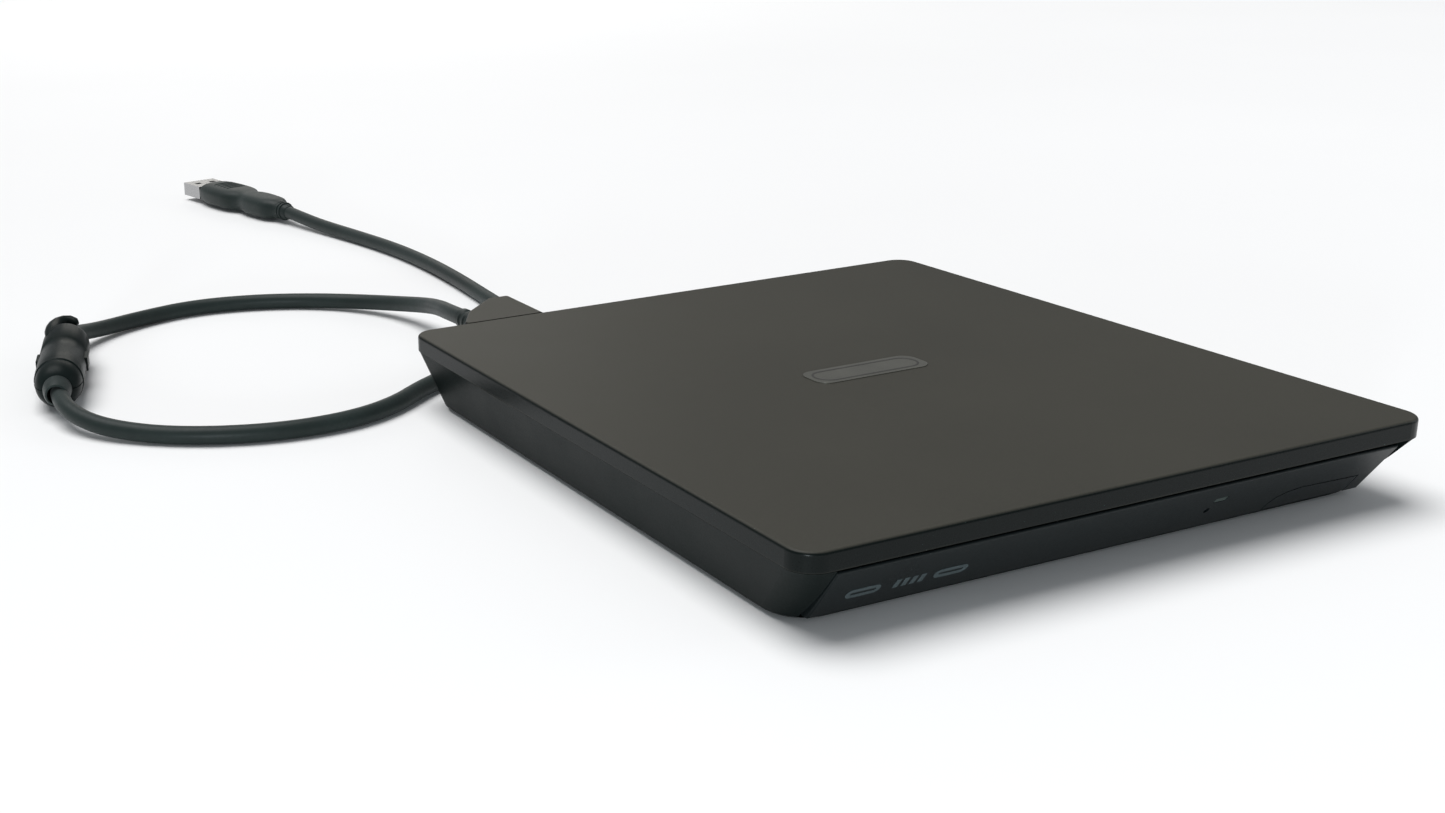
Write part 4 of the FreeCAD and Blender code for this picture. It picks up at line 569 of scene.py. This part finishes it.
def make_bead():
    """A snap-on bead: two shells with end rings, a collar at each end and a hooked clip over the far end."""
    half, radius = BEAD_HALF, BEAD_RADIUS
    far = [
        (2.55, half), (3.5, half), (4.05, half - 0.35), (4.3, half - 1.0), (4.35, half - 2.6),
        (4.1, half - 3.0), (4.15, half - 3.5), (4.9, half - 3.9), (5.5, half - 4.7), (5.82, half - 5.9),
        (radius, half - 7.4),
    ]
    waist = [(radius, 4.5), (5.72, 4.1), (5.72, -4.1), (radius, -4.5)]
    near = [
        (radius, 9 - half), (5.86, 6.6 - half), (5.55, 6.3 - half), (5.6, 5.2 - half), (5.3, 3.1 - half),
        (4.7, 1.5 - half), (3.9, 0.5 - half), (3.0, -half), (2.55, -half),
    ]
    profile = far + waist + near
    made = []
    for word, start in (("upper", 0.8), ("lower", 180.8)):
        shell = lathe(profile, steps=44, start=start, sweep=178.4, closed=True)
        made.append(piece(
            f"bead_shell_{word}", shell, "enclosure", "bead_plastic", LYING,
            (f"ferrite_shell_{word}",), soft=0.12,
        ))
    collar = [
        (2.15, -half - 4.6), (2.55, -half - 4.4), (2.95, -half - 3.2), (3.3, -half - 1.2),
        (3.5, -half + 1.2), (2.15, -half + 1.2),
    ]
    made.append(piece("bead_collar_near", lathe(collar, closed=True), "enclosure", "cord_jacket", LYING))
    collar = [
        (2.15, half - 1), (3.3, half - 1), (3.25, half + 1.2), (2.85, half + 2.1), (2.15, half + 2.2),
    ]
    made.append(piece("bead_collar_far", lathe(collar, closed=True), "enclosure", "cord_jacket", LYING))
    shape = tapered_sweep(
        [(x, y, z) for x, y, z, _, _ in HOOK], [wide for _, _, _, wide, _ in HOOK],
        [high for _, _, _, _, high in HOOK],
    )
    made.append(piece("bead_clip_hook", shape, "enclosure", "bead_plastic", BEAD))
    for word, across in (("left", -1), ("right", 1)):
        inner, outer = 5.1 * across, 6.25 * across
        tab = prism([(inner, -3.2), (outer, -3.2), (outer, 3.2), (inner, 3.2)], -1.6, 1.9)
        made.append(piece(f"bead_catch_{word}", tab, "enclosure", "bead_plastic", BEAD, soft=0.35))
    return made


def make_plug():
    """One soft moulding: the cord flares into a rear block, then a waist and a fuller front body."""
    shape = skin([oval(*section) for section in PLUG_SECTIONS], caps=True)
    made = [piece(
        "plug_moulding", shape, "enclosure", "cord_jacket", PLUG, ("plug_body", "plug_strain_relief"),
    )]
    for i, y in enumerate(GRIP_PLACES):
        rings = [oval(y + step, wide, high, 2.4, lift=GRIP_BASE) for step, wide, high in GRIP_BAR]
        bar = skin(rings, caps=True)
        made.append(piece(f"plug_grip_{i + 1}", bar, "enclosure", "cord_jacket", PLUG))
    for i, y in enumerate(RIB_PLACES):
        bulge = [(2.3, y), (3.05, y + 0.15), (3.15, y + 0.45), (3.05, y + 0.75), (2.3, y + 0.9)]
        rib = lathe(bulge, closed=True)
        made.append(piece(f"plug_rib_{i + 1}", rib, "enclosure", "cord_jacket", PLUG @ ALONG_Y))
    return made


# ---- the case's small pieces ----


FEET = ((-56, -56), (56, -56), (-56, 62), (56, 62))
CASE_SCREW_ACROSS = 60
CASE_SCREW_ALONG = 67
CASE_SCREW_SEAT = 1.3


def make_feet():
    """Moulded rubber feet: a raised rim round a shallow dish."""
    profile = [
        (0, 0.2), (2.3, 0.2), (2.6, 0.02), (2.8, 0), (3.4, 0), (3.75, 0.12), (3.95, 0.4), (4, 0.9), (0, 0.9),
    ]
    for i, (x, y) in enumerate(FEET):
        piece(
            f"foot_{i + 1}", lathe(profile, steps=64), "enclosure", "rubber_black",
            Matrix.Translation((x, y, 0)), ("rubber_feet",) if i == 0 else (),
        )


def make_case_screws():
    flip = Matrix.Rotation(math.pi, 4, "X")
    for word, side in (("left", -1), ("right", 1)):
        spot = (side * CASE_SCREW_ACROSS, CASE_SCREW_ALONG, CASE_SCREW_SEAT)
        at = Matrix.Translation(spot) @ flip
        piece(f"case_screw_{word}_head", screw_head(1.85, 0.75, 0.75), "enclosure", "polished_steel", at)


# The bezel's leaning plane: how far forward it reaches at a height, and how far back for each mm down.
FACE_FRONT = -76.3
FACE_TOP = 13.1
FACE_LEAN = 0.7165
PRINT_SUNK = -0.02
PRINT_HIGH = 0.045
MARK_HEIGHT = 5.4
MARK_LENGTH = 7.0


def face_frame(x, z):
    """A point on the bezel's leaning face, with its own X along the front and its own Z out of the face."""
    y = FACE_FRONT + FACE_LEAN * (FACE_TOP - z)
    rise = Vector((0, -FACE_LEAN, 1)).normalized()
    out = Vector((1, 0, 0)).cross(rise)
    turn = Matrix((Vector((1, 0, 0)), rise, out)).transposed().to_4x4()
    return Matrix.Translation((x, y, z)) @ turn


def make_marks():
    """Plain pictograms printed at the bezel's left: a slotted bar, four upright bars, a slotted bar."""
    for name, x in (("mark_left", -53.5), ("mark_right", -35.5)):
        outer, inner = pill(MARK_LENGTH, 2.5), pill(MARK_LENGTH - 1.8, 0.7)
        shape = frame_ring(outer, inner, PRINT_SUNK, PRINT_HIGH)
        piece(name, shape, "tray", "bezel_plastic", face_frame(x, MARK_HEIGHT), look="mark_print")
    for i in range(4):
        bar = prism(oblong(-0.5, -1.2, 0.5, 1.2), PRINT_SUNK, PRINT_HIGH)
        at = face_frame(-46.6 + i * 1.7, MARK_HEIGHT)
        piece(f"mark_middle_{i + 1}", bar, "tray", "bezel_plastic", at, look="mark_print")


def make_badge_border():
    low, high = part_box("badge_plate")
    at = Matrix.Translation((0, 0, high.z / MM))
    length, width = (high.x - low.x) / MM, (high.y - low.y) / MM
    outer, inner = pill(length - 2.2, width - 2.2, 16), pill(length - 3.2, width - 3.2, 16)
    shape = frame_ring(outer, inner, -0.05, 0.03)
    piece("badge_border", shape, "enclosure", "badge_metal", at, look="badge_line")


LABEL_MARGIN = 1.5
LABEL_LINE = 0.3
LABEL_SUNK = -0.03
LABEL_HIGH = 0.02
# Left, near, right and far edge of each bar, from the label's middle.
LABEL_BARS = (
    (-21, 8.5, 6, 11.5), (-21, 4.6, 14, 5.4), (-21, 1.6, 10, 2.4), (-21, -1.4, 16, -0.6),
    (9, -11.5, 21, -4.5), (-21, -11.5, -13, -7.5), (-10.5, -11.5, -2.5, -7.5),
)


def make_label_print():
    """A thin border and a few plain bars on the underside's label, with nothing written."""
    low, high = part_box("underside_label")
    middle = (low + high) / 2 / MM
    across = (high.x - low.x) / MM / 2 - LABEL_MARGIN
    along = (high.y - low.y) / MM / 2 - LABEL_MARGIN
    at = Matrix.Translation((middle.x, middle.y, low.z / MM)) @ Matrix.Rotation(math.pi, 4, "X")
    inner_across, inner_along = across - LABEL_LINE, along - LABEL_LINE
    outer = oblong(-across, -along, across, along)
    inner = oblong(-inner_across, -inner_along, inner_across, inner_along)
    border = frame_ring(outer, inner, LABEL_SUNK, LABEL_HIGH)
    piece("label_border", border, "enclosure", "label_film", at, look="label_ink")
    for i, edges in enumerate(LABEL_BARS):
        bar = prism(oblong(*edges), LABEL_SUNK, LABEL_HIGH)
        piece(f"label_bar_{i + 1}", bar, "enclosure", "label_film", at, look="label_ink")


# ---- tray details ----


DECK_TOP = 8.8
DECK_SCREWS = ((-22, -17.5), (-22, 17.5), (57, -17.5), (57, 17.5))
FEED_ACROSS = 18.6
FEED_HEIGHT = 5.8
FEED_RADIUS = 1.1
FEED_START = 19.2
FEED_END = 60.4
FEED_PITCH = 3
COVER_TOP = 7.85
LENS_ALONG = 24.1


def make_tray_details():
    """The small disc's ridge, the deck's screws, the feed screw's thread and the pickup's fittings."""
    ridge = [(40.6, 8.85), (40.7, 9.12), (40.9, 9.2), (41.5, 9.2), (41.7, 9.12), (41.8, 8.85)]
    shape = lathe(ridge, steps=150, start=33, sweep=294, closed=True)
    piece("tray_small_disc_ridge", shape, "tray", "tray_plastic", DECK)
    for i, (x, y) in enumerate(DECK_SCREWS):
        at = DECK @ Matrix.Translation((x, y, DECK_TOP))
        piece(f"deck_screw_{i + 1}", screw_head(1.5, 0.42, 0.5), "tray", "polished_steel", at)
    shape = screw_thread(FEED_RADIUS, 0.28, FEED_PITCH, FEED_START, FEED_END)
    at = DECK @ Matrix.Translation((0, FEED_ACROSS, FEED_HEIGHT))
    piece("feed_screw_thread", shape, "screw", "polished_steel", at, ("lead_screw",))
    for word, y in (("left", 4.62), ("right", -4.62)):
        upright = Matrix.Rotation(math.pi / 2, 4, "X") @ Matrix.Translation((0, 0.75, 0))
        at = DECK @ Matrix.Translation((LENS_ALONG, y, 5.95)) @ upright
        coil = frame_ring(pill(5.4, 1.5), pill(4.4, 0.5), -0.22, 0.22)
        piece(f"lens_coil_{word}", coil, "lens", "brass_parts", at, look="winding")
    outline = [(16.4, -6), (18.4, -6), (18.4, -3), (19.2, -2), (19.2, 2), (18.4, 3), (18.4, 6), (16.4, 6)]
    film = prism(outline, COVER_TOP + 0.01, COVER_TOP + 0.08)
    piece("pickup_film", film, "carriage", "sled_metal", DECK, look="flex_film")
    for word, y in (("left", -8.6), ("right", 8.6)):
        at = DECK @ Matrix.Translation((30.4, y, COVER_TOP))
        piece(f"pickup_screw_{word}", screw_head(0.95, 0.3, 0.35), "carriage", "polished_steel", at)


# ---- stage ----


def soft_light(name, place, aim, size, power, color):
    data = bpy.data.lights.new(name, "AREA")
    data.shape = "RECTANGLE"
    data.size, data.size_y = size
    data.energy = power
    data.color = color
    light = bpy.data.objects.new(name, data)
    light.location = place
    light.rotation_euler = (Vector(aim) - Vector(place)).to_track_quat("-Z", "Y").to_euler()
    bpy.context.scene.collection.objects.link(light)


WORLD_LIGHT = 0.24
OVERHEAD_LIGHT = 2.75
FLOOR_REACH = 6.0
FLOOR_LEVEL = -0.02
# Each soft light's name, place, aim, size, power and colour.
SOFT_LIGHTS = (
    ("rear_card", (0.33, 1.25, 0.38), (-0.03, 0.03, 0.017), (0.5, 0.35), 0.75, (1, 0.97, 0.9)),
    ("near_fill", (-0.52, -0.54, 0.08), (-0.066, -0.072, 0.014), (0.07, 0.05), 2.2, (0.85, 0.95, 1)),
    ("side_card", (0.9, -0.3, 0.35), (0, -0.05, 0), (0.4, 0.4), 0.8, (0.95, 0.98, 1)),
)


def make_stage():
    mesh = bpy.data.meshes.new("floor")
    corners = oblong(-FLOOR_REACH, -FLOOR_REACH, FLOOR_REACH, FLOOR_REACH)
    mesh.from_pydata([(x, y, 0) for x, y in corners], [], [(0, 1, 2, 3)])
    floor = bpy.data.objects.new("floor", mesh)
    bpy.context.scene.collection.objects.link(floor)
    floor.location.z = FLOOR_LEVEL * MM
    build = Build("floor_paint")
    tone = build.noise(3, detail=3)
    build.feed(build.shader.inputs["Base Color"], build.mix(tone, (0.86, 0.86, 0.86, 1), (0.9, 0.9, 0.9, 1)))
    build.shader.inputs["Roughness"].default_value = 0.7
    build.shader.inputs["Specular IOR Level"].default_value = 0.2
    floor.data.materials.append(build.material)
    world = bpy.data.worlds.new("studio")
    world.use_nodes = True
    world.node_tree.nodes["Background"].inputs["Color"].default_value = (0.93, 0.96, 1, 1)
    world.node_tree.nodes["Background"].inputs["Strength"].default_value = WORLD_LIGHT
    bpy.context.scene.world = world
    data = bpy.data.lights.new("overhead", "SUN")
    data.energy = OVERHEAD_LIGHT
    data.angle = math.radians(50)
    overhead = bpy.data.objects.new("overhead", data)
    overhead.rotation_euler = (math.radians(-14), math.radians(-10), 0)
    bpy.context.scene.collection.objects.link(overhead)
    for light in SOFT_LIGHTS:
        soft_light(*light)
    bpy.context.scene.view_settings.view_transform = "Standard"


make_camera()
cord = make_cord()
dress_frame()
on_cord = make_bead() + make_plug()
make_feet()
make_case_screws()
make_marks()
make_badge_border()
make_label_print()
make_tray_details()
make_stage()
